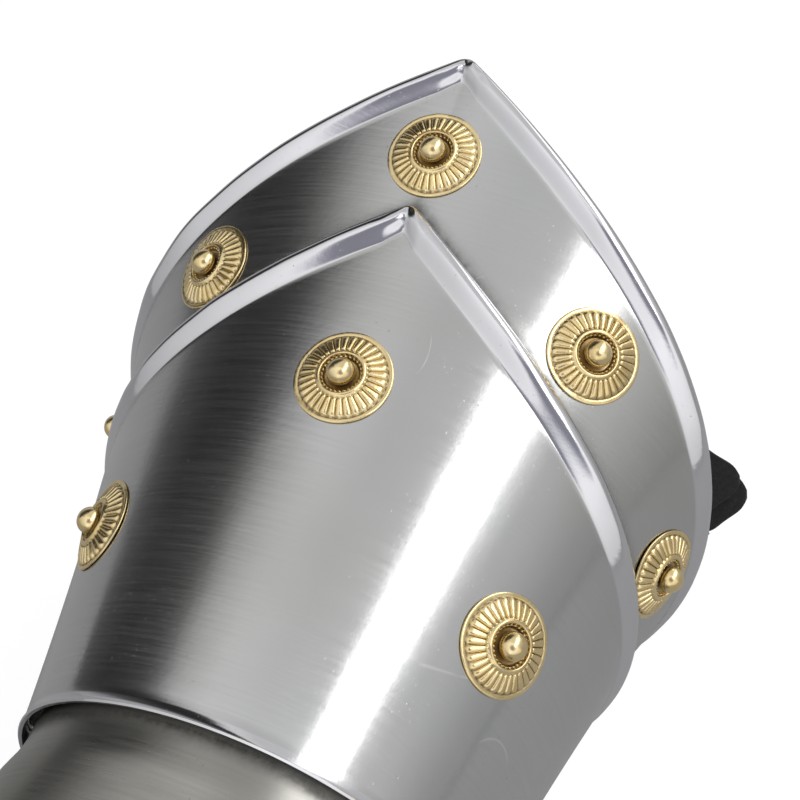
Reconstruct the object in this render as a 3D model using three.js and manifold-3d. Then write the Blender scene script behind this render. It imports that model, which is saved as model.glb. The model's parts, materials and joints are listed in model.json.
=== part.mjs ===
// A right-hand steel gauntlet with a flared two-plate cuff, brass rosettes and articulated fingers.
// Millimetres. +X runs to the fingertips, +Y to the thumb side, +Z up from the palm to the back of the hand.
// While building, x = 0 is the wrist edge of the cuff and s = -x is the distance up the forearm.
import * as THREE from 'three';
import { mergeVertices, toCreasedNormals } from 'three/addons/utils/BufferGeometryUtils.js';
import Module from 'manifold-3d';

const wasm = await Module();
wasm.setup();

// Driving dimensions.

const sheet = 1.2;
const fingerSheet = 1.0;
const nestGap = 0.4;
const restGap = 0.3;
const pinGap = 0.08;
const weldDistance = 1e-4;

const cuff = {
  reach: 100,
  wristHalfWidth: 48.1,
  reachHalfWidth: 72.2,
  hollow: 1.5,
  wristRoundness: 0.935,
  reachRoundness: 0.865,
  rise: 8.2,
  halfAngle: 2.76,
  groundDrop: 40,
};

const mainPlate = {
  tipLength: 109.6,
  sideLength: 51.9,
  sweep: 0.96,
  beadWidth: 6,
  beadHeight: 2.3,
  lipLength: 2.2,
  lipHeight: 0.8,
  lipMiddleShare: 0.6,
};

// How far the rear plate's rim stands behind the main plate's, at the middle and low on the sides.
const rearBand = { middleLength: 35.4, sideLength: 18.1 };

const rearPlate = {
  tipLength: mainPlate.tipLength + rearBand.middleLength,
  sideLength: mainPlate.sideLength + rearBand.sideLength,
  sweep: 0.8,
  beadWidth: 5.2,
  beadHeight: 2.2,
  lap: 54,
  lapSweep: 0.12,
  layerGap: 0.6,
  flare: 0.09,
  flareStart: 2,
  flareSoftness: 4,
};

const rosette = {
  radius: 10,
  seatGap: 0.2,
  rimHeight: 0.8,
  fluteOuter: 8.6,
  fluteInner: 5.4,
  valleyHeight: 0.6,
  peakHeight: 1.35,
  fluteInnerHeight: 1.9,
  ringOuter: 4.9,
  ringInner: 4.2,
  ringHeight: 2.6,
  recess: 3.7,
  recessHeight: 1.4,
  flutes: 24,
};

const domedRivet = {
  headRadius: 2.85,
  neckRadius: 2.1,
  headHeight: 4.5,
  waistHeight: 1.9,
  shankRadius: 1.6,
  tailRadius: 2.8,
  tailHeight: 0.9,
};

const wristRivet = { headRadius: 3.8, headHeight: 1.8, shankRadius: 1.5, tailRadius: 2.7, tailHeight: 0.8 };
const lameRivet = { headRadius: 2.4, headHeight: 1.2, shankRadius: 1.1, tailRadius: 2.0, tailHeight: 0.6 };
const strapRivet = { headRadius: 3.0, headHeight: 1.4, shankRadius: 1.3, tailRadius: 2.6, tailHeight: 0.7 };

const mainRosette = {
  middleShare: 0.6373,
  sideShare: 0.506,
  sideAngle: 0.8907,
};
const rearRosette = {
  middleShare: 0.4274,
  innerShare: 0.507,
  outerShare: 0.495,
  innerAngle: 0.6557,
  outerAngle: 1.418,
};

const wrist = { back: 6.6, handPitch: 0.122, topGap: 0.77, sideGap: 0.8 };
const knuckleFront = { height: 28.5, halfWidth: 50, bulge: 3.0 };
const knuckleFlare = 1.2;

// Each hand plate turns on side rivets; its rear part is a surface of revolution about them.
const handPlate = {
  name: 'hand_plate',
  height: cuff.wristHalfWidth * cuff.wristRoundness - sheet - wrist.topGap,
  halfWidth: cuff.wristHalfWidth - sheet - wrist.sideGap,
  bulge: 2.0,
  length: 36,
  rearTop: 24,
  rearSide: 8,
};
const lame = { halfWidth: knuckleFront.halfWidth - knuckleFlare, rearTop: 7, rearSide: 5 };
const firstLame = { name: 'metacarpal_lame_1', height: 37.5, bulge: 2.15, length: 18, ...lame };
const secondLame = { name: 'metacarpal_lame_2', height: 34.7, bulge: 2.3, length: 18, ...lame };
const knucklePlate = { name: 'knuckle_plate', height: 32.0, bulge: 2.45, length: 28, ...lame };
const handPlates = [handPlate, firstLame, secondLame, knucklePlate];
const handEdge = { halfAngle: 1.72, lap: 5, sink: 1 };
const boss = { radius: 9.5, height: 3.2, back: 6 };

const finger = { rootBack: 4, halfAngle: 1.7, lap: 3.5, rearSide: 4, taper: 1.1, noseLength: 11 };
const fingerRear = { proximal: 0.9, middle: 1.08, tip: 0.68 };
const fingerRest = { middle: 0.19, tip: 0.17, most: 0.6, floorGap: 0.1 };
const indexFinger = {
  name: 'index',
  acrossShare: 0.672,
  radiusShare: 0.2,
  fan: 0.06,
  proximalLength: 43,
  middleLength: 27,
  tipLength: 25,
};
const middleFinger = {
  name: 'middle',
  acrossShare: 0.226,
  radiusShare: 0.204,
  fan: 0.018,
  proximalLength: 46,
  middleLength: 30,
  tipLength: 26,
};
const ringFinger = {
  name: 'ring',
  acrossShare: -0.224,
  radiusShare: 0.2,
  fan: -0.022,
  proximalLength: 43,
  middleLength: 28,
  tipLength: 25,
};
const littleFinger = {
  name: 'little',
  acrossShare: -0.652,
  radiusShare: 0.184,
  fan: -0.06,
  proximalLength: 34,
  middleLength: 22,
  tipLength: 22,
};
const fingers = [indexFinger, middleFinger, ringFinger, littleFinger].map(onKnuckles);

const thumb = {
  along: 34,
  inset: 2.8,
  drop: 24,
  radius: 11.4,
  proximalLength: 33,
  middleLength: 28,
  tipLength: 26,
  yaw: 0.55,
  pitch: -0.14,
  roll: 0.96,
  bend: 0.2,
  tipBend: 0.16,
  stripAlong: 23.4,
  stripTop: 3,
  stripFoot: -9,
  stripLean: 2.4,
};

const strip = { widthShare: 0.85, thickness: 1.6, anchorBack: 25, dipShare: 0.18 };
const palmStrap = { along: 11, width: 14, thickness: 2.2, top: 5, depth: 27, sideGap: 2.2 };
const closure = {
  pastRim: 8.64,
  angle: 2.0,
  width: 20,
  thickness: 2.2,
  level: -25,
  chapeWidth: 16,
  slotStart: 3.2,
  slotEnd: 11,
  sag: 5.2,
  wallTurn: 0.13,
  turnAcross: 40,
  turnDrop: 1.5,
  flatAcross: 24,
  barBefore: 4,
  barAfter: 3,
  tipPastSide: 51.3,
  tipOut: 2.1,
  tipLevel: -5,
  endShare: 0.3,
};
const closureAlong = rimAt(mainPlate, closure.angle) + closure.pastRim;
const buckle = {
  across: 12,
  width: 27,
  length: 21,
  wire: 2.8,
  thickness: 2.6,
  barRadius: 1.4,
  eyeRadius: 3.6,
};
const prong = { width: 2.6, thickness: 1.8, ringRadius: 2.9 };
// The free end of the closure strap, as shares of the way from the buckle's bar to the strap's tip.
const tongueShares = [
  [0.057, 0.152, 0.086],
  [0.21, 0.354, 0.122],
  [0.478, 0.54, 0.247],
  [0.707, 0.725, 0.498],
  [0.86, 0.877, 0.749],
  [1, 1, 1],
];

const segments = { cuff: 30, plate: 20, knuckle: 28, finger: 8, domedRivet: 10, rivet: 12, smallRivet: 8 };

// Materials.

const colours = {
  steel: ['#b9bbbd', 0.28, 1],
  darkSteel: ['#8f908c', 0.36, 1],
  brass: ['#c9a45c', 0.3, 1],
  leather: ['#1d1c1b', 0.85, 0],
};

function makeMaterial(kind) {
  const [color, roughness, metalness] = colours[kind];
  return new THREE.MeshStandardMaterial({ color, roughness, metalness });
}

// Mesh helpers.

function lerp(from, to, share) {
  return from + (to - from) * share;
}

function shoelace(outline, [a, b, c]) {
  const [p, q, r] = [outline[a], outline[b], outline[c]];
  return (q.x - p.x) * (r.y - p.y) - (r.x - p.x) * (q.y - p.y);
}

// Triangles of a flat outline, all running the same way round as the outline itself.
function fillOutline(outline) {
  const forward = THREE.ShapeUtils.area(outline) > 0;
  const faces = THREE.ShapeUtils.triangulateShape(outline, []);
  return faces.map((f) => (shoelace(outline, f) > 0 === forward ? f : [f[0], f[2], f[1]]));
}

function signedVolume(positions, index) {
  const corner = (k) => new THREE.Vector3().fromArray(positions, index[k] * 3);
  let total = 0;
  for (let k = 0; k < index.length; k += 3) {
    total += corner(k).dot(corner(k + 1).cross(corner(k + 2)));
  }
  return total;
}

function cleanMesh(geometry) {
  geometry.deleteAttribute('normal');
  geometry.deleteAttribute('uv');
  const merged = mergeVertices(geometry, weldDistance);
  const raw = merged.index.array;
  const index = [];
  for (let k = 0; k < raw.length; k += 3) {
    const [a, b, c] = [raw[k], raw[k + 1], raw[k + 2]];
    if (a !== b && b !== c && c !== a) index.push(a, b, c);
  }
  if (signedVolume(merged.attributes.position.array, index) < 0) index.reverse();
  merged.setIndex(index);
  return merged;
}

// A closed solid through a row of closed rings, with flat-outline caps on the first and last ring.
function loftRings(rings, outline) {
  const count = rings[0].length;
  const positions = rings.flat().flatMap((p) => p.toArray());
  const index = [];
  for (let j = 0; j + 1 < rings.length; j += 1) {
    for (let i = 0; i < count; i += 1) {
      const next = (i + 1) % count;
      const [a, d] = [j * count + i, j * count + next];
      index.push(a, a + count, d + count, a, d + count, d);
    }
  }
  const last = (rings.length - 1) * count;
  for (const [a, b, c] of fillOutline(outline)) {
    index.push(a, b, c, last + a, last + c, last + b);
  }
  const geometry = new THREE.BufferGeometry();
  geometry.setAttribute('position', new THREE.Float32BufferAttribute(positions, 3));
  geometry.setIndex(index);
  return cleanMesh(geometry);
}

function toSolid(geometry) {
  const vertProperties = new Float32Array(geometry.attributes.position.array);
  const triVerts = new Uint32Array(geometry.index.array);
  return new wasm.Manifold(new wasm.Mesh({ numProp: 3, vertProperties, triVerts }));
}

function fromSolid(solid) {
  const mesh = solid.getMesh();
  const geometry = new THREE.BufferGeometry();
  geometry.setAttribute('position', new THREE.Float32BufferAttribute(Array.from(mesh.vertProperties), 3));
  geometry.setIndex(Array.from(mesh.triVerts));
  return cleanMesh(geometry);
}

function cut(geometry, tools) {
  let solid = toSolid(geometry);
  for (const tool of tools) solid = solid.subtract(tool);
  return fromSolid(solid);
}

// A drill: a cylinder centred on a frame's origin, along its Z axis, whose flats lie at the radius.
function drill(frame, radius, length, sides) {
  const corner = radius / Math.cos(Math.PI / sides);
  return wasm.Manifold.cylinder(length, corner, corner, sides, true).transform(frame.elements);
}

function lathe(profile, sides) {
  const points = profile.map(([r, z]) => new THREE.Vector2(r, z));
  return cleanMesh(new THREE.LatheGeometry(points, sides).rotateX(Math.PI / 2));
}

// Frames: a Matrix4 from an origin and a Z direction, with X kept near a given direction.
function frameAt(origin, zAxis, xHint) {
  const z = zAxis.clone().normalize();
  const x = xHint.clone().addScaledVector(z, -xHint.dot(z)).normalize();
  const y = new THREE.Vector3().crossVectors(z, x);
  return new THREE.Matrix4().makeBasis(x, y, z).setPosition(origin);
}

function groupAt(frame) {
  const group = new THREE.Group();
  frame.decompose(group.position, group.quaternion, group.scale);
  return group;
}

function addPiece(parent, name, geometry, kind, crease = 0.6) {
  const mesh = new THREE.Mesh(toCreasedNormals(geometry, crease), makeMaterial(kind));
  mesh.name = name;
  parent.add(mesh);
  return mesh;
}

// Cuff surfaces.

function rimAt(plate, angle) {
  return plate.sideLength + (plate.tipLength - plate.sideLength) * Math.exp(-plate.sweep * Math.abs(angle));
}

function rimSlope(plate, angle) {
  return plate.sweep * (plate.tipLength - plate.sideLength) * Math.exp(-plate.sweep * Math.abs(angle));
}

// How far the rear plate's outer face lies outside the main plate's (negative where it is tucked under).
function rearOffset(angle, along) {
  const past = along - rimAt(mainPlate, angle) - rearPlate.flareStart;
  const eased = (past + Math.hypot(past, rearPlate.flareSoftness)) / 2;
  return rearPlate.flare * eased - sheet - rearPlate.layerGap;
}

function cuffHalfWidth(along) {
  const share = along / cuff.reach;
  return lerp(cuff.wristHalfWidth, cuff.reachHalfWidth, share) - 4 * cuff.hollow * share * (1 - share);
}

function cuffSurface(angle, along, plate) {
  const share = along / cuff.reach;
  const offset = plate === rearPlate ? rearOffset(angle, along) : 0;
  const halfWidth = cuffHalfWidth(along) + offset;
  const height = halfWidth * lerp(cuff.wristRoundness, cuff.reachRoundness, share);
  return new THREE.Vector3(-along, halfWidth * Math.sin(angle), height * Math.cos(angle) + cuff.rise * share);
}

function cuffNormal(angle, along, plate) {
  const turn = 1e-3;
  const step = turn * cuff.reach;
  const byAngle = cuffSurface(angle + turn, along, plate).sub(cuffSurface(angle - turn, along, plate));
  const byLength = cuffSurface(angle, along + step, plate).sub(cuffSurface(angle, along - step, plate));
  return byLength.cross(byAngle).negate().normalize();
}

function cuffPoint(angle, along, lift, plate) {
  return cuffSurface(angle, along, plate).addScaledVector(cuffNormal(angle, along, plate), lift);
}

function cuffFrame(angle, along, plate) {
  const upArm = new THREE.Vector3(-1, 0, 0);
  return frameAt(cuffSurface(angle, along, plate), cuffNormal(angle, along, plate), upArm);
}

// The rolled rim's half-round section, as pairs of distance from the rim's edge and height over the sheet.
function beadSection(plate) {
  const half = plate.beadWidth / 2;
  const over = [];
  for (let k = 0; k <= 5; k += 1) {
    const turn = (Math.PI * k) / 5;
    over.push([half * (1 + Math.cos(turn)), plate.beadHeight * Math.sin(turn)]);
  }
  return [...over, [half, -sheet]];
}

// The wrist end of a cuff plate's section: an outward lip on the main plate, a plain edge on the rear one.
function wristEnd(plate, start) {
  if (!plate.lipLength) return { outer: [[start, 0]], inner: [[start, -sheet]], body: start };
  const bend = start + plate.lipLength;
  const middle = [start + plate.lipLength / 2, plate.lipHeight * plate.lipMiddleShare];
  const outer = [[start, plate.lipHeight], middle, [bend, 0]];
  const inner = [[bend, -sheet], [start, plate.lipHeight - sheet]];
  return { outer, inner, body: bend };
}

function evenSteps(from, to, steps, lift) {
  const between = [];
  for (let k = 1; k < steps; k += 1) between.push([lerp(from, to, k / steps), lift]);
  return between;
}

function plateStart(plate, angle) {
  if (plate === mainPlate) return 0;
  return rimAt(mainPlate, angle) - rearPlate.lap * Math.exp(-rearPlate.lapSweep * angle * angle);
}

// The rear plate keeps to the main plate's curve as far as the main rim, and flares beyond it.
function rearBody(start, crease, angle) {
  const bend = rimAt(mainPlate, angle) + rearPlate.flareStart;
  return [...evenSteps(start, bend, 2, 0), [bend, 0], ...evenSteps(bend, crease, 2, 0)];
}

// The bead runs slantwise over the sections, which makes it wider in them.
function beadStretch(plate, angle) {
  return Math.hypot(1, rimSlope(plate, angle) / cuffHalfWidth(rimAt(plate, angle)));
}

function cuffSection(plate, angle) {
  const rim = rimAt(plate, angle);
  const stretch = beadStretch(plate, angle);
  const bead = beadSection(plate).map(([back, lift]) => [rim - back * stretch, lift]);
  const end = wristEnd(plate, plateStart(plate, angle));
  const crease = bead[0][0];
  const under = bead[bead.length - 1][0];
  const outer = plate === mainPlate ? evenSteps(end.body, crease, 3, 0) : rearBody(end.body, crease, angle);
  const inner = evenSteps(under, end.body, 3, -sheet);
  return [...end.outer, ...outer, ...bead, ...inner, ...end.inner];
}

function cuffPlate(plate, holes) {
  const rings = [];
  for (let j = 0; j <= segments.cuff; j += 1) {
    const angle = cuff.halfAngle * ((2 * j) / segments.cuff - 1);
    rings.push(cuffSection(plate, angle).map(([along, lift]) => cuffPoint(angle, along, lift, plate)));
  }
  const outline = cuffSection(plate, cuff.halfAngle).map(([along, lift]) => new THREE.Vector2(along, lift));
  const shell = toSolid(loftRings(rings, outline));
  return cut(fromSolid(shell.trimByPlane([0, 0, 1], -cuff.groundDrop)), holes);
}

// Rosettes and rivets.

function ringOf(count, radius, height) {
  const ring = [];
  for (let k = 0; k < count; k += 1) {
    const turn = (2 * Math.PI * k) / count;
    ring.push(new THREE.Vector3(radius * Math.cos(turn), radius * Math.sin(turn), height(k)));
  }
  return ring;
}

// Joins two rings into a band; the second may have twice as many points as the first, or half as many.
function band(index, first, second) {
  const count = Math.max(first.count, second.count);
  const at = (ring, k) => ring.start + (Math.floor((k * ring.count) / count) % ring.count);
  for (let k = 0; k < count; k += 1) {
    index.push(at(first, k), at(first, k + 1), at(second, k + 1));
    index.push(at(first, k), at(second, k + 1), at(second, k));
  }
}

// The washer's underside follows the plate, given as its drop below the seat plane at (x, y).
function rosetteRings(seatDrop) {
  const count = rosette.flutes;
  const level = (height) => () => height;
  const seated = (ring) => ring.map((p) => p.setZ(seatDrop(p.x, p.y) + rosette.seatGap));
  const petals = (k) => (k % 2 ? rosette.peakHeight : rosette.valleyHeight);
  return [
    seated(ringOf(count / 2, domedRivet.shankRadius + pinGap, level(0))),
    seated(ringOf(count, rosette.radius, level(0))),
    ringOf(count, rosette.radius, level(rosette.rimHeight)),
    ringOf(count * 2, rosette.fluteOuter, petals),
    ringOf(count, rosette.fluteInner, level(rosette.fluteInnerHeight)),
    ringOf(count / 2, rosette.ringOuter, level(rosette.ringHeight)),
    ringOf(count / 2, rosette.ringInner, level(rosette.ringHeight)),
    ringOf(count / 2, rosette.recess, level(rosette.recessHeight)),
    ringOf(count / 2, domedRivet.shankRadius + pinGap, level(rosette.recessHeight)),
  ];
}

function rosetteWasher(seatDrop) {
  const rings = rosetteRings(seatDrop);
  let start = 0;
  const spans = rings.map((ring) => {
    const span = { start, count: ring.length };
    start += ring.length;
    return span;
  });
  const index = [];
  spans.forEach((span, k) => band(index, span, spans[(k + 1) % spans.length]));
  const geometry = new THREE.BufferGeometry();
  const positions = rings.flat().flatMap((p) => p.toArray());
  geometry.setAttribute('position', new THREE.Float32BufferAttribute(positions, 3));
  geometry.setIndex(index);
  return cleanMesh(geometry);
}

function domedHead(size) {
  const { neckRadius, headRadius, headHeight, waistHeight } = size;
  const head = [[neckRadius, 0], [headRadius, waistHeight]];
  for (let k = 1; k < 3; k += 1) {
    const turn = (Math.PI / 2) * (k / 3);
    head.push([headRadius * Math.cos(turn), waistHeight + (headHeight - waistHeight) * Math.sin(turn)]);
  }
  return [...head, [0, headHeight]];
}

function lowHead(size) {
  const head = [[size.headRadius, 0]];
  for (let k = 1; k < 3; k += 1) {
    const turn = (Math.PI / 2) * (k / 3);
    head.push([size.headRadius * Math.cos(turn), size.headHeight * Math.sin(turn)]);
  }
  return [...head, [0, size.headHeight]];
}

// A rivet along Z with its head's seat at z = 0 and its shank running down to the tail.
function rivet(size, head, grip, sides) {
  const tail = -grip - size.tailHeight;
  const profile = [
    [0, tail],
    [size.tailRadius, tail],
    [size.tailRadius, -grip],
    [size.shankRadius, -grip],
    [size.shankRadius, 0],
    ...head,
  ];
  return lathe(profile, sides);
}

// Drop of a cuff plate's face below its tangent plane at a rosette, at seat-plane coordinates (x, y).
function seatDropAt(spot, plate) {
  const frame = cuffFrame(spot.angle, spot.along, plate);
  const inverse = frame.clone().invert();
  const around = cuffHalfWidth(spot.along);
  return (x, y) => {
    const point = cuffSurface(spot.angle - y / around, spot.along + x, plate);
    return point.applyMatrix4(inverse).z;
  };
}

function addRosette(parent, spot, plate, layers) {
  const group = groupAt(cuffFrame(spot.angle, spot.along, plate));
  parent.add(group);
  addPiece(group, `rosette_${spot.name}`, rosetteWasher(seatDropAt(spot, plate)), 'brass', 0.3);
  const seat = rosette.recessHeight + restGap / 2;
  const grip = seat + layers * sheet + (layers - 1) * rearPlate.layerGap + restGap;
  const pin = rivet(domedRivet, domedHead(domedRivet), grip, segments.domedRivet).translate(0, 0, seat);
  addPiece(group, `rosette_rivet_${spot.name}`, pin, 'brass', 1.0);
}

// A rosette on the main plate lies at a share of the way from the wrist to its rim.
function mainSpot(name, angle, share) {
  return { name: `main_${name}`, angle, along: share * rimAt(mainPlate, angle) };
}

// A rosette on the rear plate lies between the main plate's rim and the crease of the rear plate's bead.
function rearSpot(name, angle, share) {
  const crease = rimAt(rearPlate, angle) - rearPlate.beadWidth * beadStretch(rearPlate, angle);
  return { name: `rear_${name}`, angle, along: lerp(rimAt(mainPlate, angle), crease, share) };
}

const mainRosettes = [
  mainSpot('centre', 0, mainRosette.middleShare),
  mainSpot('left', -mainRosette.sideAngle, mainRosette.sideShare),
  mainSpot('right', mainRosette.sideAngle, mainRosette.sideShare),
];
const rearRosettes = [
  rearSpot('centre', 0, rearRosette.middleShare),
  rearSpot('inner_left', -rearRosette.innerAngle, rearRosette.innerShare),
  rearSpot('inner_right', rearRosette.innerAngle, rearRosette.innerShare),
  rearSpot('outer_left', -rearRosette.outerAngle, rearRosette.outerShare),
  rearSpot('outer_right', rearRosette.outerAngle, rearRosette.outerShare),
];

function rosetteHole(spot, plate) {
  const frame = cuffFrame(spot.angle, spot.along, plate);
  return drill(frame, domedRivet.shankRadius + 2 * pinGap, rosette.radius, segments.rivet);
}

// Nested plates: a rear part turned about the plate's own hinge (local Y axis), a straight part and a lap.

function sectionScale(turn, bulge) {
  return (Math.abs(Math.sin(turn)) ** bulge + Math.abs(Math.cos(turn)) ** bulge) ** (-1 / bulge);
}

// Size of the section at a distance behind the hinge, so that every point keeps its radius about the hinge.
function turnedScale(turn, rear, back) {
  const [side, top] = [Math.abs(Math.sin(turn)), Math.abs(Math.cos(turn))];
  let [low, high] = [0, 2];
  for (let k = 0; k < 40; k += 1) {
    const scale = (low + high) / 2;
    const radius = Math.hypot(back, rear.height * scale * top) / rear.height;
    if ((scale * side) ** rear.bulge + radius ** rear.bulge > 1) high = scale;
    else low = scale;
  }
  return low;
}

function bossLift(shape, x, y) {
  let lift = 0;
  for (const centre of shape.bosses ?? []) {
    const far = Math.hypot(x - centre.x, y - centre.y) / boss.radius;
    if (far < 1) lift += (boss.height * (1 + Math.cos(Math.PI * far))) / 2;
  }
  return lift;
}

function sectionPoint(x, turn, halfWidth, height, bulge, centre) {
  const scale = sectionScale(turn, bulge);
  return new THREE.Vector3(x, halfWidth * scale * Math.sin(turn), centre + height * scale * Math.cos(turn));
}

function rearPoint(shape, inset, turn, sweep) {
  const rear = {
    height: shape.rear.height - inset,
    halfWidth: shape.rear.halfWidth - inset,
    bulge: shape.rear.bulge,
  };
  const back = rear.height * Math.sin(sweep);
  const scale = turnedScale(turn, rear, back);
  const across = rear.halfWidth * scale * Math.sin(turn);
  return new THREE.Vector3(-back, across, rear.height * scale * Math.cos(turn));
}

// A plate keeps its rear size under the plate before it, and its front size over the plate after it.
function bodyShare(shape, x) {
  const [from, to] = [shape.tuck, shape.length - shape.seat];
  return Math.min(Math.max((x - from) / (to - from), 0), 1);
}

function bodyPoint(shape, inset, turn, x) {
  const share = bodyShare(shape, x);
  const halfWidth = lerp(shape.rear.halfWidth, shape.front.halfWidth, share) - inset;
  const height = lerp(shape.rear.height, shape.front.height, share) - inset;
  const bulge = lerp(shape.rear.bulge, shape.front.bulge, share);
  const point = sectionPoint(x, turn, halfWidth, height, bulge, -shape.sink * share);
  const lift = bossLift(shape, x, point.y);
  return point.addScaledVector(new THREE.Vector3(0, Math.sin(turn), Math.cos(turn)), lift);
}

// The closed round end of a fingertip plate, swept from its last straight section to the pole.
function nosePoint(shape, inset, turn, sweep) {
  const from = shape.length - shape.nose;
  const share = bodyShare(shape, from);
  const halfWidth = (lerp(shape.rear.halfWidth, shape.front.halfWidth, share) - inset) * Math.cos(sweep);
  const height = (lerp(shape.rear.height, shape.front.height, share) - inset) * Math.cos(sweep);
  const x = from + (shape.nose - inset) * Math.sin(sweep);
  return sectionPoint(x, turn, halfWidth, height, shape.front.bulge, -shape.sink * share);
}

function rearSweep(shape, turn) {
  const ease = Math.max(Math.cos(turn), 0) ** 2;
  return Math.asin(lerp(shape.rearSide, shape.rearTop, ease) / shape.rear.height);
}

function plateFace(shape, inset, turn) {
  const face = [];
  const sweep = rearSweep(shape, turn);
  for (let k = 0; k < shape.rearSteps; k += 1) {
    face.push(rearPoint(shape, inset, turn, sweep * (1 - k / shape.rearSteps)));
  }
  for (const x of shape.bodyStops) face.push(bodyPoint(shape, inset, turn, x));
  if (!shape.nose) return face;
  for (let k = 1; k <= 3; k += 1) face.push(nosePoint(shape, inset, turn, (Math.PI / 2) * (k / 3)));
  return face;
}

function nestedPlate(shape) {
  const rings = [];
  for (let j = 0; j <= shape.stations; j += 1) {
    const turn = shape.halfAngle * ((2 * j) / shape.stations - 1);
    rings.push([...plateFace(shape, 0, turn), ...plateFace(shape, shape.sheet, turn).reverse()]);
  }
  const outline = rings[0].map((p) => new THREE.Vector2(p.x, Math.hypot(p.y, p.z)));
  return loftRings(rings, outline);
}

// Leather bands: a flat band through centre points, each with the direction of its width.

function bandSolid(stations, thickness) {
  const rings = stations.map((station, k) => {
    const before = stations[Math.max(k - 1, 0)].at;
    const after = stations[Math.min(k + 1, stations.length - 1)].at;
    const along = after.clone().sub(before).normalize();
    const side = station.side.clone().addScaledVector(along, -station.side.dot(along)).normalize();
    const up = new THREE.Vector3().crossVectors(along, side).multiplyScalar(thickness / 2);
    const across = side.multiplyScalar(station.width / 2);
    return [[1, 1], [-1, 1], [-1, -1], [1, -1]].map(([a, b]) =>
      station.at.clone().addScaledVector(across, a).addScaledVector(up, b));
  });
  const square = [[1, 1], [-1, 1], [-1, -1], [1, -1]].map(([a, b]) => new THREE.Vector2(a, b));
  return loftRings(rings, square);
}

// Half widths of a band's rounded end, as shares of the full width at steps to the tip.
function roundedEnd(stations, length) {
  const total = stations.length;
  let run = 0;
  for (let k = total - 1; k > 0; k -= 1) {
    const share = 1 - run / length;
    if (share > 0) stations[k].width *= Math.max(Math.sqrt(1 - share ** 2), closure.endShare);
    run += stations[k].at.distanceTo(stations[k - 1].at);
  }
  return stations;
}

// Cuff assembly.

const root = new THREE.Group();
root.name = 'gauntlet';
const body = new THREE.Group();
root.add(body);

const strapSpots = [
  { name: 'little_side', angle: -closure.angle, along: closureAlong },
  { name: 'thumb_side', angle: closure.angle, along: closureAlong },
];

function strapHole(spot) {
  const frame = cuffFrame(spot.angle, spot.along, rearPlate);
  return drill(frame, strapRivet.shankRadius + pinGap, rosette.radius, segments.smallRivet);
}

const wristPivot = new THREE.Vector3(-wrist.back, 0, 0);

// The rivet on one side of the wrist, in a frame whose Z axis runs out along the hinge.
function wristSideFrame(side) {
  const out = new THREE.Vector3(0, side, 0);
  return frameAt(wristPivot.clone(), out, new THREE.Vector3(1, 0, 0));
}

function wristHoles() {
  const radius = wristRivet.shankRadius + pinGap;
  return [drill(wristSideFrame(1), radius, 4 * cuff.wristHalfWidth, segments.rivet)];
}

function addCuffPlates() {
  const mainHoles = [...mainRosettes.map((spot) => rosetteHole(spot, mainPlate)), ...wristHoles()];
  addPiece(body, 'main_cuff_plate', cuffPlate(mainPlate, mainHoles), 'steel');
  const rearHoles = [
    ...rearRosettes.map((spot) => rosetteHole(spot, rearPlate)),
    ...mainRosettes.map((spot) => rosetteHole(spot, mainPlate)),
    ...strapSpots.map(strapHole),
  ];
  addPiece(body, 'rear_cuff_plate', cuffPlate(rearPlate, rearHoles), 'steel');
  mainRosettes.forEach((spot) => addRosette(body, spot, mainPlate, 2));
  rearRosettes.forEach((spot) => addRosette(body, spot, rearPlate, 1));
}

// The wrist rivet's head lies square to the flared cuff while its shank runs along the hinge.
function addWristRivet(side, name) {
  const group = groupAt(wristSideFrame(side));
  body.add(group);
  const outer = cuffPoint((Math.PI / 2) * side, wrist.back, restGap, mainPlate);
  const seat = outer.y * side;
  const inner = handPlate.halfWidth - sheet - restGap;
  const shank = rivet(wristRivet, lowHead(wristRivet), seat - inner, segments.rivet).translate(0, 0, seat);
  const plate = cuffNormal((Math.PI / 2) * side, wrist.back, mainPlate);
  const tilt = Math.atan2(plate.x, plate.y * side) * side;
  const lean = new THREE.Matrix4().makeTranslation(0, 0, seat)
    .multiply(new THREE.Matrix4().makeRotationY(tilt * side))
    .multiply(new THREE.Matrix4().makeTranslation(0, 0, -seat));
  const cap = lathe([[0, 0], ...lowHead(wristRivet)], segments.rivet);
  const low = cap.translate(0, 0, seat).applyMatrix4(lean);
  addPiece(group, name, trimmedRivet(shank, low, seat), 'steel', 1.0);
}

function trimmedRivet(shank, head, seat) {
  const stem = toSolid(shank).trimByPlane([0, 0, -1], -seat - wristRivet.headHeight * 0.4);
  const radius = wristRivet.shankRadius;
  const narrow = wasm.Manifold.cylinder(seat * 2, radius, radius, segments.rivet);
  const tail = stem.trimByPlane([0, 0, -1], -seat + restGap);
  const above = narrow.trimByPlane([0, 0, 1], seat - wristRivet.headHeight);
  const neck = above.trimByPlane([0, 0, -1], -seat - restGap);
  return fromSolid(tail.add(neck).add(toSolid(head)));
}

// Hand assembly: each plate's group sits on the one before it.

function coverOf(next, thickness) {
  const cover = thickness + nestGap;
  return { height: next.height + cover, halfWidth: next.halfWidth + cover, bulge: next.bulge };
}

function plateShape(k) {
  const own = handPlates[k];
  const next = handPlates[k + 1];
  const tuck = k === 0 ? wrist.back + mainPlate.lipLength : handEdge.lap;
  const seat = next.rearTop + nestGap;
  return {
    ...own,
    rear: own,
    front: coverOf(next, sheet),
    sink: handEdge.sink,
    tuck,
    seat,
    bodyStops: [0, tuck, own.length - seat, own.length + handEdge.lap],
    rearSteps: k === 0 ? 3 : 1,
    sheet,
    halfAngle: handEdge.halfAngle,
    stations: segments.plate,
  };
}

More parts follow.
